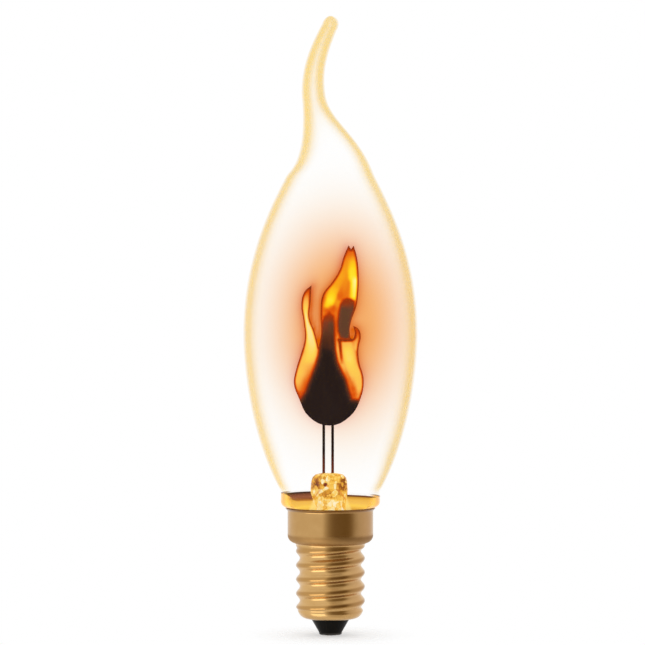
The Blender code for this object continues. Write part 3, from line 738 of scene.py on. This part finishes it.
gold = (flare_reflection * 0.6).mix(gold, tint(255, 230, 144))
in_foot = (gold_top - z).step(-0.08, 0.08)
inner_glass.feed(
    glow=in_foot.mix(glow_colour, gold),
    alpha=(strength + (0.98 - strength) * in_foot) * (1 - from_behind),
)
inner_glass.material.use_backface_culling = True
inner_glass.lights_nothing()
print("gold:", len(painted_gold_stops), "steps, and", len(hollow_shade_stops), "in the hollow")

# %% Both skins on the glass
LAYERS_SEEN_THROUGH = 32
dress(blown_envelope, amber_glass.material, inner_glass.material)
bpy.context.scene.cycles.transparent_max_bounces = LAYERS_SEEN_THROUGH
print("glass: two skins,", round(GLASS_WALL / MM, 2), "mm apart")

# %% [markdown]
# The strokes of the flame, as a painter would lay them: each has a reach, and a line of points,
# across from the lamp's axis and up from the plate's foot in millimetres, with a heat at each point.
# Pale yellow is the hottest, at 1, dark red is near 0.3, and black is 0. Where no stroke comes near,
# the heat is that of the body. The black egg at the foot and the brown shaft are areas, with soft
# edges.

# %% Strokes of the flame
FLAME_STROKES = (
    (0.6, (
        (-4.6, 26.7, 0.4), (-4.85, 24.8, 0.68), (-4.8, 23.2, 0.92), (-4.6, 21.4, 1.15), (-4.1, 19.3, 1.1),
    )),
    (0.8, (
        (-4.1, 19.3, 1.1), (-3.7, 16.4, 1.03), (-3.9, 14.3, 0.92), (-4.8, 12.6, 0.83), (-5.7, 10.5, 0.8),
    )),
    (0.75, ((-5.7, 10.5, 0.8), (-6.2, 8.9, 0.76), (-6.3, 7.6, 0.62))),
    (0.85, ((-4.6, 11.7, 0.52), (-5.0, 10.2, 0.43), (-5.3, 8.5, 0.42), (-5.8, 6.7, 0.38))),
    (0.6, ((-0.5, 24.0, 0.84), (0.0, 25.1, 0.93), (0.5, 26.6, 0.77), (1.2, 27.9, 0.64), (2.3, 29.9, 0.6))),
    (0.6, ((2.3, 29.9, 0.62), (3.1, 31.8, 0.58), (3.6, 33.4, 0.5), (3.8, 34.6, 0.42))),
    (0.65, ((4.3, 34.2, 0.5), (4.1, 32.9, 0.72), (4.3, 31.2, 0.88), (4.4, 29.8, 0.92))),
    (0.6, ((5.0, 28.9, 1.04), (4.95, 27.4, 0.98), (4.9, 25.8, 0.95), (5.1, 24.6, 0.66))),
    (0.55, ((2.9, 30.0, 0.58), (3.0, 28.4, 0.54), (2.7, 27.0, 0.5), (2.2, 26.0, 0.44))),
    (0.5, ((-1.6, 25.4, 0.5), (-1.7, 23.6, 0.52), (-1.3, 22.4, 0.5))),
    (0.5, ((-0.9, 23.0, 0.39), (0.0, 23.4, 0.38), (0.9, 23.2, 0.4))),
    (0.3, ((1.4, 24.6, 0.6), (1.2, 22.9, 0.5), (1.15, 20.3, 0.42), (1.15, 18.0, 0.5))),
    (0.3, ((1.15, 17.4, 0.6), (1.35, 15.5, 0.78), (1.6, 13.9, 0.8), (2.2, 12.2, 0.7), (3.2, 10.3, 0.52))),
    (0.3, ((3.2, 10.3, 0.52), (4.3, 8.6, 0.44), (4.6, 7.3, 0.38))),
    (0.7, ((3.3, 16.2, 0.72), (3.5, 14.9, 0.92), (3.8, 13.3, 0.95), (4.1, 12.1, 0.88), (4.9, 10.5, 0.78))),
    (0.7, ((4.9, 10.5, 0.78), (5.3, 9.1, 0.75), (5.8, 7.5, 0.73), (5.6, 6.3, 0.56))),
    (0.4, ((5.4, 18.6, 0.4), (5.3, 17.2, 0.54), (5.3, 15.6, 0.7))),
    (0.4, ((4.5, 9.3, 0.6), (4.9, 7.7, 0.46), (4.9, 6.2, 0.36))),
)
BODY_HEAT = 0.5
BODY_SHARE = 0.12
RIM_HEAT = 0.26
RIM_FADING = (0.06, 0.6)
EGG_EDGE = (-0.75, 0.35)
SHAFT_EDGE = (-0.4, 0.35)
CORE_BROWNING = (16.5, 21.5)
BROWNEST = 0.3
DARK_LINES = (
    (0.34, (
        (1.7, 17.15, 0.24), (2.9, 17.0, 0.2), (4.2, 17.05, 0.24), (4.85, 17.8, 0.27), (4.8, 18.8, 0.27),
    )),
    (0.34, ((1.85, 16.8, 0.24), (2.0, 15.2, 0.26), (2.15, 13.6, 0.34), (2.3, 12.6, 0.5))),
    (0.36, ((-3.75, 28.2, 0.2), (-4.1, 27.5, 0.24))),
    (0.3, ((3.65, 36.0, 0.2), (3.8, 35.1, 0.3))),
    (0.3, ((4.6, 35.9, 0.2), (4.45, 35.1, 0.3))),
)
BLACK_EGG = (
    (-6.3, 5.0), (-5.1, 6.8), (-4.6, 8.3), (-3.8, 10.2), (-3.0, 12.2), (-2.5, 14.1), (-2.2, 16.1),
    (-1.8, 18.3), (-1.65, 20.3), (-1.2, 21.8), (-0.2, 22.6), (0.6, 21.9), (0.8, 20.3), (0.9, 17.7),
    (1.05, 15.2), (1.5, 12.8), (2.4, 10.7), (3.2, 9.1), (3.8, 7.1), (4.4, 5.4), (5.7, 5.1), (7.1, 2.1),
    (-0.1, -1.9), (-7.3, 2.1),
)
BROWN_SHAFT = (
    (1.45, 18.9), (1.4, 20.8), (1.6, 22.6), (1.95, 24.2), (2.5, 25.2), (3.3, 25.5), (4.2, 25.3),
    (4.9, 24.9), (4.85, 23.6), (4.5, 21.9), (4.15, 20.4), (4.0, 18.4), (3.8, 17.3), (2.7, 17.2),
    (1.9, 17.5),
)


def stroke_over(drawn, reach, stroke):
    """How much of a stroke lies on each point, and the stroke's heat there."""
    line = np.array(stroke)
    gap, along = nearest_on(drawn, line[:, :2])
    level = np.interp(along, np.linspace(0, 1, len(line)), line[:, 2])
    return np.exp(-((gap / reach) ** 2)), level


def strokes_heat(points, drawn):
    """The heat from the strokes alone, cooler at the plate's rim and along the dark lines."""
    weights = np.full(len(drawn), BODY_SHARE)
    heat = weights * BODY_HEAT
    for reach, stroke in FLAME_STROKES:
        weight, level = stroke_over(drawn, reach, stroke)
        weights += weight
        heat += weight * level
    heat /= weights
    edge_depth, _ = nearest_on(points, closed(flame_outline))
    heat = RIM_HEAT + (heat - RIM_HEAT) * rise(edge_depth / MM, *RIM_FADING)
    for reach, stroke in DARK_LINES:
        weight, level = stroke_over(drawn, reach, stroke)
        heat += (np.minimum(level, heat) - heat) * weight
    return heat


def flame_heat(points):
    """The heat at each (x, z) point of the plate's face, and how brown it is."""
    drawn = (points - (0, front_low.z)) / MM
    heat = strokes_heat(points, drawn)
    egg = signed_depth(drawn, np.array(BLACK_EGG))
    egg_heat = np.interp(egg, (-0.4, 0.0, 0.4, 1.0, 1.6), (0.36, 0.25, 0.16, 0.06, 0.0))
    core_heat = np.interp(drawn[:, 1], (13.5, 15.5, 18.0, 20.5, 22.3), (0, 0.12, 0.16, 0.2, 0.29))
    egg_share = rise(egg, *EGG_EDGE)
    heat += (np.maximum(egg_heat, core_heat) - heat) * egg_share
    shaft = signed_depth(drawn, np.array(BROWN_SHAFT))
    shaft_heat = np.interp(shaft, (-0.2, 0.3, 0.9), (0.26, 0.2, 0.15))
    shaft_heat = np.maximum(shaft_heat, np.interp(drawn[:, 1], (22.6, 24.8), (0.15, 0.26)))
    shaft_share = rise(shaft, *SHAFT_EDGE)
    heat += (shaft_heat - heat) * shaft_share
    core_share = egg_share * rise(drawn[:, 1], *CORE_BROWNING)
    brown = np.maximum(shaft_share, core_share) * rise(BROWNEST - heat, 0, 0.1)
    return heat, brown


print("flame:", len(FLAME_STROKES), "strokes")

# %% Fine flame plates
PLATE_GRID = 0.17 * MM
ROW_SHARE = 0.866
RIM_KEPT_FREE = 0.4
INNER_FACE_HEAT = 0.12


def plate_faces():
    """The plate's face as (x, z) points and triangles: a fine grid of points within the outline."""
    low, high = flame_outline.min(axis=0), flame_outline.max(axis=0)
    columns = np.arange(low[0], high[0], PLATE_GRID)
    rows = np.arange(low[1], high[1], PLATE_GRID * ROW_SHARE)
    grid = np.array([(x + (i % 2) * PLATE_GRID / 2, z) for i, z in enumerate(rows) for x in columns])
    grid = grid[signed_depth(grid, flame_outline) > PLATE_GRID * RIM_KEPT_FREE]
    corners = np.vstack((flame_outline, grid)) / MM
    loop = list(range(len(flame_outline)))
    found = delaunay_2d_cdt([Vector(point) for point in corners], [], [loop], 1, 1e-6)
    return np.array([tuple(point) for point in found[0]]) * MM, np.array(found[2])


face_points, face_triangles = plate_faces()
face_heat, face_brown = flame_heat(face_points)
a, b, c = (face_points[face_triangles[:, i]] for i in range(3))
turn = (b[:, 0] - a[:, 0]) * (c[:, 1] - a[:, 1]) - (b[:, 1] - a[:, 1]) * (c[:, 0] - a[:, 0])
face_triangles[turn < 0] = face_triangles[turn < 0][:, ::-1]
heat_range = [float(level.round(2)) for level in (face_heat.min(), face_heat.max())]
print("plate face:", len(face_triangles), "triangles, heat from", heat_range[0], "to", heat_range[1])


def make_plate(name, painted_y, inner_y):
    """A plate with its painted face at painted_y and its plain face at inner_y."""
    count = len(face_points)
    painted = np.column_stack((face_points[:, 0], np.full(count, painted_y), face_points[:, 1]))
    plain = np.column_stack((face_points[:, 0], np.full(count, inner_y), face_points[:, 1]))
    front = face_triangles if painted_y < inner_y else face_triangles[:, ::-1]
    back = front[:, ::-1] + count
    sides = boundary_sides(front, count)
    mesh = bpy.data.meshes.new(name)
    mesh.from_pydata(np.vstack((painted, plain)).tolist(), [], front.tolist() + back.tolist() + sides)
    store(mesh, "warmth", np.concatenate((face_heat, np.minimum(face_heat, INNER_FACE_HEAT))))
    store(mesh, "brown", np.concatenate((face_brown, np.zeros(count))))
    return add_object(name, mesh)


def boundary_sides(triangles, count):
    """The narrow faces round the rim, which join the two flat faces."""
    ends = np.vstack((triangles[:, [0, 1]], triangles[:, [1, 2]], triangles[:, [2, 0]]))
    directed = {tuple(pair) for pair in ends.tolist()}
    rim = [pair for pair in directed if (pair[1], pair[0]) not in directed]
    return [[second, first, first + count, second + count] for first, second in rim]


front_plate = make_plate("front_flame", front_low.y, front_high.y)
back_plate = make_plate("back_flame", back_high.y, back_low.y)
settle(front_plate, "plate_coating", "front_flame_plate")
settle(back_plate, "plate_coating", "back_flame_plate")

# %% [markdown]
# The plates' coating is matt and nearly black, and what is seen on it is the glow of the gas. So
# the finish puts the heat through a ramp, from black over dark red and orange to pale yellow, into
# the emission, and keeps the colour itself dark. The side flames and the lower tongues are paler
# than the main one. A ramp could also have been painted as a picture, but numbers on the points
# stay sharp at any size.

# %% Finish of the flame
TONGUE_BOTTOM, TONGUE_LEFT = (63.0, 65.0), (-3.0, -2.2)
PALING, PALE_SHARE = (0.4, 0.7), 0.42
BROWN_SHARE = 0.85
flame_stops = (
    (0.0, tint(31, 20, 21)),
    (0.08, tint(40, 26, 25)),
    (0.17, tint(88, 42, 24)),
    (0.26, tint(150, 48, 6)),
    (0.34, tint(196, 62, 4)),
    (0.42, tint(226, 90, 8)),
    (0.5, tint(236, 120, 18)),
    (0.58, tint(246, 150, 22)),
    (0.67, tint(252, 182, 24)),
    (0.77, tint(254, 208, 24)),
    (0.86, tint(255, 226, 44)),
    (0.93, tint(255, 236, 104)),
    (1.0, tint(255, 244, 160)),
)
coating = Finish("flame_coating", rough=0.85, specular=0.04, glow_strength=1.0)
spot, (x, _, z) = coating.place()
lick = spot.stretched((900, 900, 220)).noise(1.0, 2.0)
grain = spot.noise(5200.0, 2.0)
warmth = coating.stored("warmth") + (lick - 0.5) * 0.07 + (grain - 0.5) * 0.02
flame = warmth.ramp(flame_stops)
main_tongue = z.step(*TONGUE_BOTTOM) * x.step(*TONGUE_LEFT)
pale_share = (1 - main_tongue) * warmth.step(*PALING) * PALE_SHARE
flame = pale_share.mix(flame, tint(250, 192, 116))
shaft_brown = lick.mix(tint(84, 66, 40), tint(112, 60, 46))
shaft_brown = warmth.step(0.17, 0.25).mix(shaft_brown, tint(150, 58, 24))
flame = (coating.stored("brown") * BROWN_SHARE).mix(flame, shaft_brown)
coating.feed(
    colour=grain.mix(grey(0.001), grey(0.006)),
    glow=flame,
    normal=grain.bump(0.01 * MM, 0.4),
)
coating.lights_nothing()
for plate in (front_plate, back_plate):
    dress(plate, coating.material)
print("flame finish:", len(flame_stops), "colours")

# %% [markdown]
# The screw cap is thin brass sheet: a plain skirt above, a thread rolled into the lower part and an
# edge turned in over the black glass. The thread could be a swept ridge, but a rolled thread bends
# the whole sheet, so the rings of a turned shell are moved in and out along a helix instead.

# %% Brass cap
SHELL_WALL = 0.3 * MM
SKIRT_RADIUS = 8.57 * MM
LIP_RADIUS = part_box("cap_shell")[1].x
LIP_HEIGHT = 0.6 * MM
SHELL_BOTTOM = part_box("cap_shell")[0].z
SHOULDER_BOTTOM = SHELL_BOTTOM + 15.15 * MM
SHOULDER_ROUND = 1.6 * MM
SHOULDER_TOP = SHOULDER_BOTTOM + SHOULDER_ROUND
SKIRT_TOP = lip_top - LIP_HEIGHT
THREAD_CREST = 6.9 * MM
THREAD_ROOT = 6.14 * MM
THREAD_MEAN = (THREAD_CREST + THREAD_ROOT) / 2
THREAD_PITCH = 2.822 * MM
THREAD_START = 1.31 * MM
THREAD_RUN_OUT = 0.9 * MM
THREAD_BAND = 0.5 * MM
TURN_IN_HEIGHT = 1.5 * MM
TURN_IN_RADIUS = 3.95 * MM
SHELL_STEPS = 120
SHOULDER_END = -82


def shell_outline():
    """The outer surface from the lip down to the edge that is turned in over the black glass."""
    lip = bezier(
        (LIP_RADIUS, lip_top),
        (LIP_RADIUS - (LIP_RADIUS - SKIRT_RADIUS) * 0.1, lip_top - LIP_HEIGHT / 3),
        (SKIRT_RADIUS, SKIRT_TOP + LIP_HEIGHT / 3),
        (SKIRT_RADIUS, SKIRT_TOP),
        count=10,
    )
    skirt = straight((SKIRT_RADIUS, SKIRT_TOP), (SKIRT_RADIUS, SHOULDER_TOP), count=6)
    round_centre = (SKIRT_RADIUS - SHOULDER_ROUND, SHOULDER_TOP)
    shoulder = arc(round_centre, SHOULDER_ROUND, 0, SHOULDER_END, count=12)
    thread_top = (THREAD_MEAN, SHOULDER_BOTTOM - SHELL_WALL)
    thread = straight(thread_top, (THREAD_MEAN, SHELL_BOTTOM + TURN_IN_HEIGHT), count=110)
    turn_in = bezier(
        (THREAD_MEAN, SHELL_BOTTOM + TURN_IN_HEIGHT),
        (THREAD_MEAN - TURN_IN_HEIGHT * 0.3, SHELL_BOTTOM + TURN_IN_HEIGHT * 0.3),
        (THREAD_MEAN - TURN_IN_HEIGHT * 0.6, SHELL_BOTTOM),
        (TURN_IN_RADIUS, SHELL_BOTTOM),
        count=12,
    )
    return outline_of(lip, skirt, shoulder, thread, turn_in)


def rolled(rings):
    """Presses a right-hand thread into the rings, below a plain band under the shoulder."""
    angle = np.arctan2(rings[:, :, 1], rings[:, :, 0])
    height = rings[:, :, 2]
    foot = SHELL_BOTTOM + TURN_IN_HEIGHT
    start = SHOULDER_BOTTOM - THREAD_BAND
    wave = np.cos(2 * math.pi * (height - THREAD_START) / THREAD_PITCH - angle)
    wave *= rise(height, foot, foot + THREAD_RUN_OUT)
    wave += (1 - wave) * rise(height, start - THREAD_RUN_OUT, start)
    wave *= rise(-height, -SHOULDER_BOTTOM, SHELL_WALL - SHOULDER_BOTTOM)
    radius = np.hypot(rings[:, :, 0], rings[:, :, 1])
    scale = 1 + (THREAD_CREST - THREAD_ROOT) / 2 * wave / radius
    rings[:, :, :2] *= scale[:, :, None]
    return rings


shell_rings = rolled(spun_rings(shell_outline(), SHELL_STEPS))
rolled_shell = add_object("rolled_shell", mesh_from_rings("rolled_shell", shell_rings))
add_wall(rolled_shell, SHELL_WALL)
settle(rolled_shell, "brass", "cap_shell")

# %% [markdown]
# Brass is a metal: its colour lives in its reflections, so the finish keeps Metallic at 1 and puts
# the detail in the colour's slight tarnish and in the roughness. The skirt was spun, so its finest
# marks run round it. They are a noise squeezed in height. The thread is painted lighter, as painted
# light, the lip and the shoulder are painted darker, as painted shade, the crests of the thread are
# darker, and the shoulder is rougher.

# %% Finish of the brass
THREAD_BELOW = (19.6, 18.4)
CREST_FROM_AXIS, CREST_BELOW, CREST_DARKENING = (6.62, 6.86), (18.2, 17.6), 0.75
LIP_ABOVE = (24.9, 25.2)
SHOULDER_BELOW, SHOULDER_ABOVE = (20.6, 19.8), (18.3, 18.6)
SHOULDER_SHADE, SHOULDER_ROUGHER = 0.4, 0.36

brass = Finish("brass", metal=1.0)
spot, (x, y, z) = brass.place()
drawn_marks = spot.stretched((60, 60, 9000)).noise(1.0, 3.0)
tarnish = spot.noise(420.0, 4.0)
specks = spot.noise(5000.0, 2.0)
brass_colour = tarnish.mix(tint(200, 160, 104), tint(184, 142, 86))
# The thread below the shoulder is painted lighter: painted light.
painted_lit_thread_brass = tarnish.mix(tint(216, 175, 116), tint(201, 159, 98))
brass_colour = z.step(*THREAD_BELOW).mix(brass_colour, painted_lit_thread_brass)
from_axis = (x * x + y * y) ** 0.5
# The crests of the thread are darker.
crest = from_axis.step(*CREST_FROM_AXIS) * z.step(*CREST_BELOW)
brass_colour = (crest * CREST_DARKENING).mix(brass_colour, tint(176, 132, 74))
# The lip is painted darker: painted shade where it meets the glass.
brass_colour = z.step(*LIP_ABOVE).mix(brass_colour, tint(140, 100, 54))
# The shoulder is painted darker: painted shade. It is also rougher.
shoulder = z.step(*SHOULDER_BELOW) * z.step(*SHOULDER_ABOVE)
brass_colour = (shoulder * SHOULDER_SHADE).mix(brass_colour, tint(120, 82, 40))
brass.feed(
    colour=brass_colour,
    rough=0.12 + tarnish * 0.1 + drawn_marks * 0.06 + shoulder * SHOULDER_ROUGHER,
    normal=(drawn_marks * 0.8 + specks * 0.2).bump(0.006 * MM, 0.5),
)
dress(rolled_shell, brass.material)
dress(nodes["contact_eyelet"], brass.material)
print("brass: thread of", round(THREAD_PITCH / MM, 3), "mm pitch")

# %% [markdown]
# The stem is a thick lump of clear glass, pressed flat round the wires while it was soft. Real
# refraction through its uneven faces breaks the light into patches of gold, brown and white. Those
# patches are painted here as cells of colour with a bump between them, and that painted light is also
# given as glow, which renders fast and stays steady from every side. The small hole is where the air
# was drawn out, and its dark spot is painted shade.

# %% Cells of the stem
stem_glass = Finish("stem_glass", rough=0.06, specular=0.4, glow_strength=0.45)
spot, (x, _, z) = stem_glass.place()
wobble = spot.noise(1500.0, 2.0)
cell_place = spot.stretched((1500, 1500, 1000))
cells = stem_glass.add("ShaderNodeTexVoronoi", inputs={"Vector": cell_place, "Scale": 1.0}, output=1)
cell_level = stem_glass.add("ShaderNodeSeparateColor", inputs={0: cells})
to_edge = stem_glass.add(
    "ShaderNodeTexVoronoi", {"feature": "DISTANCE_TO_EDGE"}, {"Vector": cell_place, "Scale": 1.0}
)
cracks = to_edge.step(0.1, 0.02)
print("stem: cells of colour with a line between them")

# %% Patches of the stem
left_brown = x.between(-4.6, -2.4) * z.between(29.3, 31.7)
right_brown = x.between(1.9, 3.0) * z.between(28.9, 31.6)
pale_middle = x.between(-2.0, 1.0) * z.between(29.3, 31.3)
amber_block = x.between(-1.1, 0.9, 0.2) * z.between(27.4, 28.4, 0.2)
pale_foot = x.between(-3.6, 3.0) * z.step(27.5, 26.8)
tone = 0.56 + (cell_level - 0.5) * 0.5 + (wobble - 0.5) * 0.6 - cracks * 0.16
tone = tone + pale_middle * 0.12 + pale_foot * 0.2 - amber_block * 0.16
tone = tone - left_brown * 0.34 - right_brown * 0.26
stem_light_stops = (
    (0.0, tint(112, 50, 12)),
    (0.14, tint(160, 92, 26)),
    (0.3, tint(206, 140, 46)),
    (0.44, tint(236, 178, 62)),
    (0.58, tint(252, 208, 92)),
    (0.7, tint(255, 228, 134)),
    (0.84, tint(255, 246, 196)),
    (1.0, tint(255, 255, 238)),
)
stem_painted_light = tone.ramp(stem_light_stops)
print("stem:", len(stem_light_stops), "colours of glass")

# %% Pressed lines and blow hole of the stem
LINE_SOFT = 0.18
HOLE_X, HOLE_Z = -1.0, 30.2
HOLE_EDGE = (0.5, 0.3)
STEM_DIMMING = 0.4

# The orange of the pressed lines is painted refracted light.
pressed_left = (x - (z - 29.1) * 0.78).between(-2.3, -1.95, LINE_SOFT)
pressed_right = (x + (z - 28.8) * 0.72).between(1.75, 2.05, LINE_SOFT)
pressed_line_refraction = (pressed_left + pressed_right) * z.between(27.2, 29.3)
stem_painted_light = (pressed_line_refraction * 0.6).mix(stem_painted_light, tint(222, 112, 34))
# The dark spot of the blow hole is painted shade.
from_hole = ((x - HOLE_X) ** 2.0 + (z - HOLE_Z) ** 2.0) ** 0.5
hole = from_hole.step(*HOLE_EDGE)
stem_painted_light = hole.mix(stem_painted_light, tint(128, 40, 16))
# The stem's painted light is given as glow, over a dimmed base colour.
dimming = {0: STEM_DIMMING, 6: stem_painted_light, 7: grey(0.0)}
stem_glass.feed(
    colour=stem_glass.add("ShaderNodeMix", {"data_type": "RGBA"}, dimming, output=2),
    glow=stem_painted_light,
    alpha=0.9 + wobble * 0.08,
    normal=tone.bump(0.1 * MM, 0.5),
)
stem_glass.lights_nothing()
for node in ("glass_stem", "exhaust_tube"):
    dress(nodes[node], stem_glass.material)
print("stem: dressed, with a hole", HOLE_Z, "mm up")

# %% [markdown]
# The wires were bright once. Heat has oxidised the two support wires, least by the stem, where the
# glass kept them cool. In the stem each goes on as a copper-clad wire, which glass grips, and below
# that as a tinned lead.

# %% Finish of the wires
BURNT_ABOVE = (33.0, 37.5)
support = Finish("oxidised_wire", metal=0.2, rough=0.5, specular=0.1)
spot, (_, _, z) = support.place()
grain = spot.stretched((4000, 4000, 500)).noise(1.0, 3.0)
burnt = (z + (grain - 0.5) * 1.5).step(*BURNT_ABOVE)
wire_colour = burnt.mix(tint(104, 40, 24), tint(28, 13, 10))
support.feed(colour=wire_colour, rough=0.4 + grain * 0.25, normal=grain.bump(0.01 * MM, 0.5))


def plain_metal(name, first, second, rough, scale):
    """A metal with a slow change between two colours and a fine grain."""
    metal = Finish(name, metal=1.0)
    spot, _ = metal.place()
    slow = spot.noise(scale, 3.0)
    fine = spot.noise(6000.0, 2.0)
    metal.feed(
        colour=slow.mix(first, second),
        rough=rough + (slow - 0.5) * 0.15,
        normal=fine.bump(0.004 * MM, 0.5),
    )
    return metal.material


copper_clad = plain_metal("copper_clad", tint(186, 98, 64), tint(150, 70, 46), 0.3, 700.0)
tinned = plain_metal("tinned_copper", tint(196, 192, 184), tint(168, 160, 148), 0.3, 900.0)
solder = plain_metal("solder", tint(186, 186, 190), tint(142, 142, 148), 0.34, 1200.0)
for side in ("left", "right"):
    dress(nodes[side + "_support_wire"], support.material)
    dress(nodes[side + "_seal_wire"], copper_clad)
    dress(nodes[side + "_outer_lead"], tinned)
for node in ("resistor_upper_lead", "resistor_lower_lead"):
    dress(nodes[node], tinned)
for node in ("lead_splice", "centre_solder", "side_solder"):
    dress(nodes[node], solder)
print("wires and solder are dressed")

# %% [markdown]
# The insulator is fused black glass, moulded to a cone, glossy and a little pitted, and greyer at
# its tip. The resistor, with its tan lacquer, and the baked cement hide in the cap.
# Each could be one flat colour, but even a black surface shows its pits in a highlight, so each
# gets a slow change of colour and a fine bump.

# %% Finish of the black glass, the resistor and the cement
GREYER_BELOW = (0.75, 0.3)
black_glass = Finish("black_glass", specular=0.05)
spot, (_, _, z) = black_glass.place()
pits = spot.noise(2600.0, 3.0)
cloud = spot.noise(350.0, 2.0)
black_colour = cloud.mix(tint(12, 12, 9), tint(20, 18, 14))
tip = z.step(*GREYER_BELOW)
black_glass.feed(
    colour=(tip * cloud).mix(black_colour, tint(86, 82, 78)),
    rough=0.22 + cloud * 0.2,
    normal=pits.bump(0.012 * MM, 0.6),
)
dress(nodes["cap_insulator"], black_glass.material)

lacquer = Finish("resistor_lacquer", coat=0.5, coat_rough=0.1)
spot, _ = lacquer.place()
mottle = spot.noise(900.0, 3.0)
lacquer.feed(
    colour=mottle.mix(tint(196, 172, 130), tint(166, 138, 98)),
    rough=0.35 + mottle * 0.15,
    normal=mottle.bump(0.02 * MM, 0.4),
)
dress(nodes["resistor_body"], lacquer.material)

cement = Finish("cement", specular=0.25)
spot, _ = cement.place()
sand = spot.noise(3000.0, 4.0)
stain = spot.noise(300.0, 2.0)
cement.feed(
    colour=stain.mix(tint(176, 142, 98), tint(120, 86, 52)),
    rough=0.75 + sand * 0.2,
    normal=sand.bump(0.05 * MM, 0.7),
)
dress(nodes["basing_cement"], cement.material)
print("black glass, resistor and cement are dressed")

# %% [markdown]
# The studio is plain: a white world, a long soft light low on the left, and a dark card that bends
# round the right of the lamp. Only reflections see the card: it is the dark stripe down the middle
# of the brass. The low light draws the short bright strokes in the hollows of the thread. The floor
# is a pale disc that fades out, so there's no horizon, only a little shade under the lamp.

# %% Studio
def look_at(obj, target):
    obj.rotation_euler = (Vector(target) - obj.location).to_track_quat("-Z", "Y").to_euler()


def around_lamp(degrees, distance, height):
    """A place round the lamp, at an angle to the right of the camera."""
    angle = math.radians(degrees - 90)
    return Vector((distance * math.cos(angle), distance * math.sin(angle), height))


world = bpy.data.worlds.new("white")
world.use_nodes = True
world.node_tree.nodes["Background"].inputs["Color"].default_value = grey(1.0)
bpy.context.scene.world = world

CAP_MIDDLE = 14 * MM
SOFTBOX_DISTANCE = 320 * MM
SOFTBOX_TURN, SOFTBOX_RAISED = -41, math.radians(-40)
SOFTBOX_WIDTH, SOFTBOX_HEIGHT = 380 * MM, 230 * MM
SOFTBOX_WATTS = 0.34

softbox_data = bpy.data.lights.new("softbox", "AREA")
softbox_data.shape = "RECTANGLE"
softbox_data.size = SOFTBOX_WIDTH
softbox_data.size_y = SOFTBOX_HEIGHT
softbox_data.energy = SOFTBOX_WATTS
softbox = bpy.data.objects.new("softbox", softbox_data)
softbox.location = around_lamp(
    SOFTBOX_TURN,
    SOFTBOX_DISTANCE * math.cos(SOFTBOX_RAISED),
    CAP_MIDDLE + SOFTBOX_DISTANCE * math.sin(SOFTBOX_RAISED),
)
look_at(softbox, (0, 0, CAP_MIDDLE))
bpy.context.scene.collection.objects.link(softbox)
print("softbox:", SOFTBOX_WATTS, "watts")

# %% Tones of the dark card
CARD_DISTANCE = 150 * MM
CARD_GRID = 5
card_tones = (
    (-20, (0.95, 0.93, 0.9)),
    (-12, (0.62, 0.58, 0.5)),
    (-2, (0.36, 0.3, 0.22)),
    (10, (0.25, 0.19, 0.12)),
    (45, (0.22, 0.16, 0.08)),
    (57, (0.3, 0.23, 0.15)),
    (67, (0.56, 0.52, 0.48)),
    (82, (0.75, 0.72, 0.76)),
    (112, (0.87, 0.84, 0.92)),
    (150, (0.96, 0.94, 0.96)),
)
PALER_AT_ENDS = 0.5
CARD_LOWEST, CARD_HIGHEST = -70, 75


def card_tone(turned, raised):
    """The card's colour in one direction from the lamp, in degrees round it and above it."""
    steps, tones = zip(*card_tones)
    level = np.array([np.interp(turned, steps, channel) for channel in zip(*tones)])
    paler = PALER_AT_ENDS * np.interp(raised, (-52, -30, 34, 58), (1, 0, 0, 1))
    return level + (1 - level) * paler


print("card tones:", len(card_tones), "directions round the lamp")

# %% Dark card
card_points, card_colours = [], []
raised_steps = np.arange(CARD_LOWEST, CARD_HIGHEST + 1, CARD_GRID)
turned_steps = np.arange(card_tones[0][0], card_tones[-1][0] + 1, CARD_GRID)
for raised in raised_steps:
    for turned in turned_steps:
        reach = CARD_DISTANCE * math.cos(math.radians(raised))
        height = CAP_MIDDLE + CARD_DISTANCE * math.sin(math.radians(raised))
        card_points.append(around_lamp(turned, reach, height))
        card_colours.append((*card_tone(turned, raised), 1))
card_row = len(turned_steps)
card_faces = []
for i in range(len(raised_steps) - 1):
    for k in range(card_row - 1):
        corner = i * card_row + k
        card_faces.append((corner, corner + 1, corner + card_row + 1, corner + card_row))
card_mesh = bpy.data.meshes.new("dark_card")
card_mesh.from_pydata(card_points, [], card_faces)
card_colour = card_mesh.attributes.new("card_colour", "FLOAT_COLOR", "POINT")
card_colour.data.foreach_set("color", np.array(card_colours, np.float32).ravel())
dark_card = add_object("dark_card", card_mesh)
dark_card.visible_camera = False
dark_card.visible_shadow = False
dark_card.visible_diffuse = False
dark_card.visible_transmission = False
card_finish = Finish("dark_card", colour=grey(0.0), rough=1.0, specular=0.0, glow_strength=1.0)
card_finish.feed(glow=card_finish.add("ShaderNodeAttribute", {"attribute_name": "card_colour"}))
card_finish.lights_nothing()
dress(dark_card, card_finish.material)
print("card:", len(card_faces), "faces")

# %% Floor
FLOOR_RADIUS = 60 * MM
SHADE_FADING = (20.0, 3.0)
floor_shape = bmesh.new()
bmesh.ops.create_circle(floor_shape, cap_ends=True, segments=64, radius=FLOOR_RADIUS)
floor_mesh = bpy.data.meshes.new("floor")
floor_shape.to_mesh(floor_mesh)
floor_shape.free()
floor = add_object("floor", floor_mesh)
floor_finish = Finish("pale_floor", rough=0.9, specular=0.1)
spot, (x, y, _) = floor_finish.place()
from_lamp = (x * x + y * y) ** 0.5
fibre = spot.noise(900.0, 3.0)
floor_finish.feed(
    alpha=(from_lamp + fibre * 2).step(*SHADE_FADING) * 0.5,
    colour=fibre.mix(grey(0.92), grey(0.98)),
)
dress(floor, floor_finish.material)
print("floor:", round(FLOOR_RADIUS / MM), "mm to its rim")
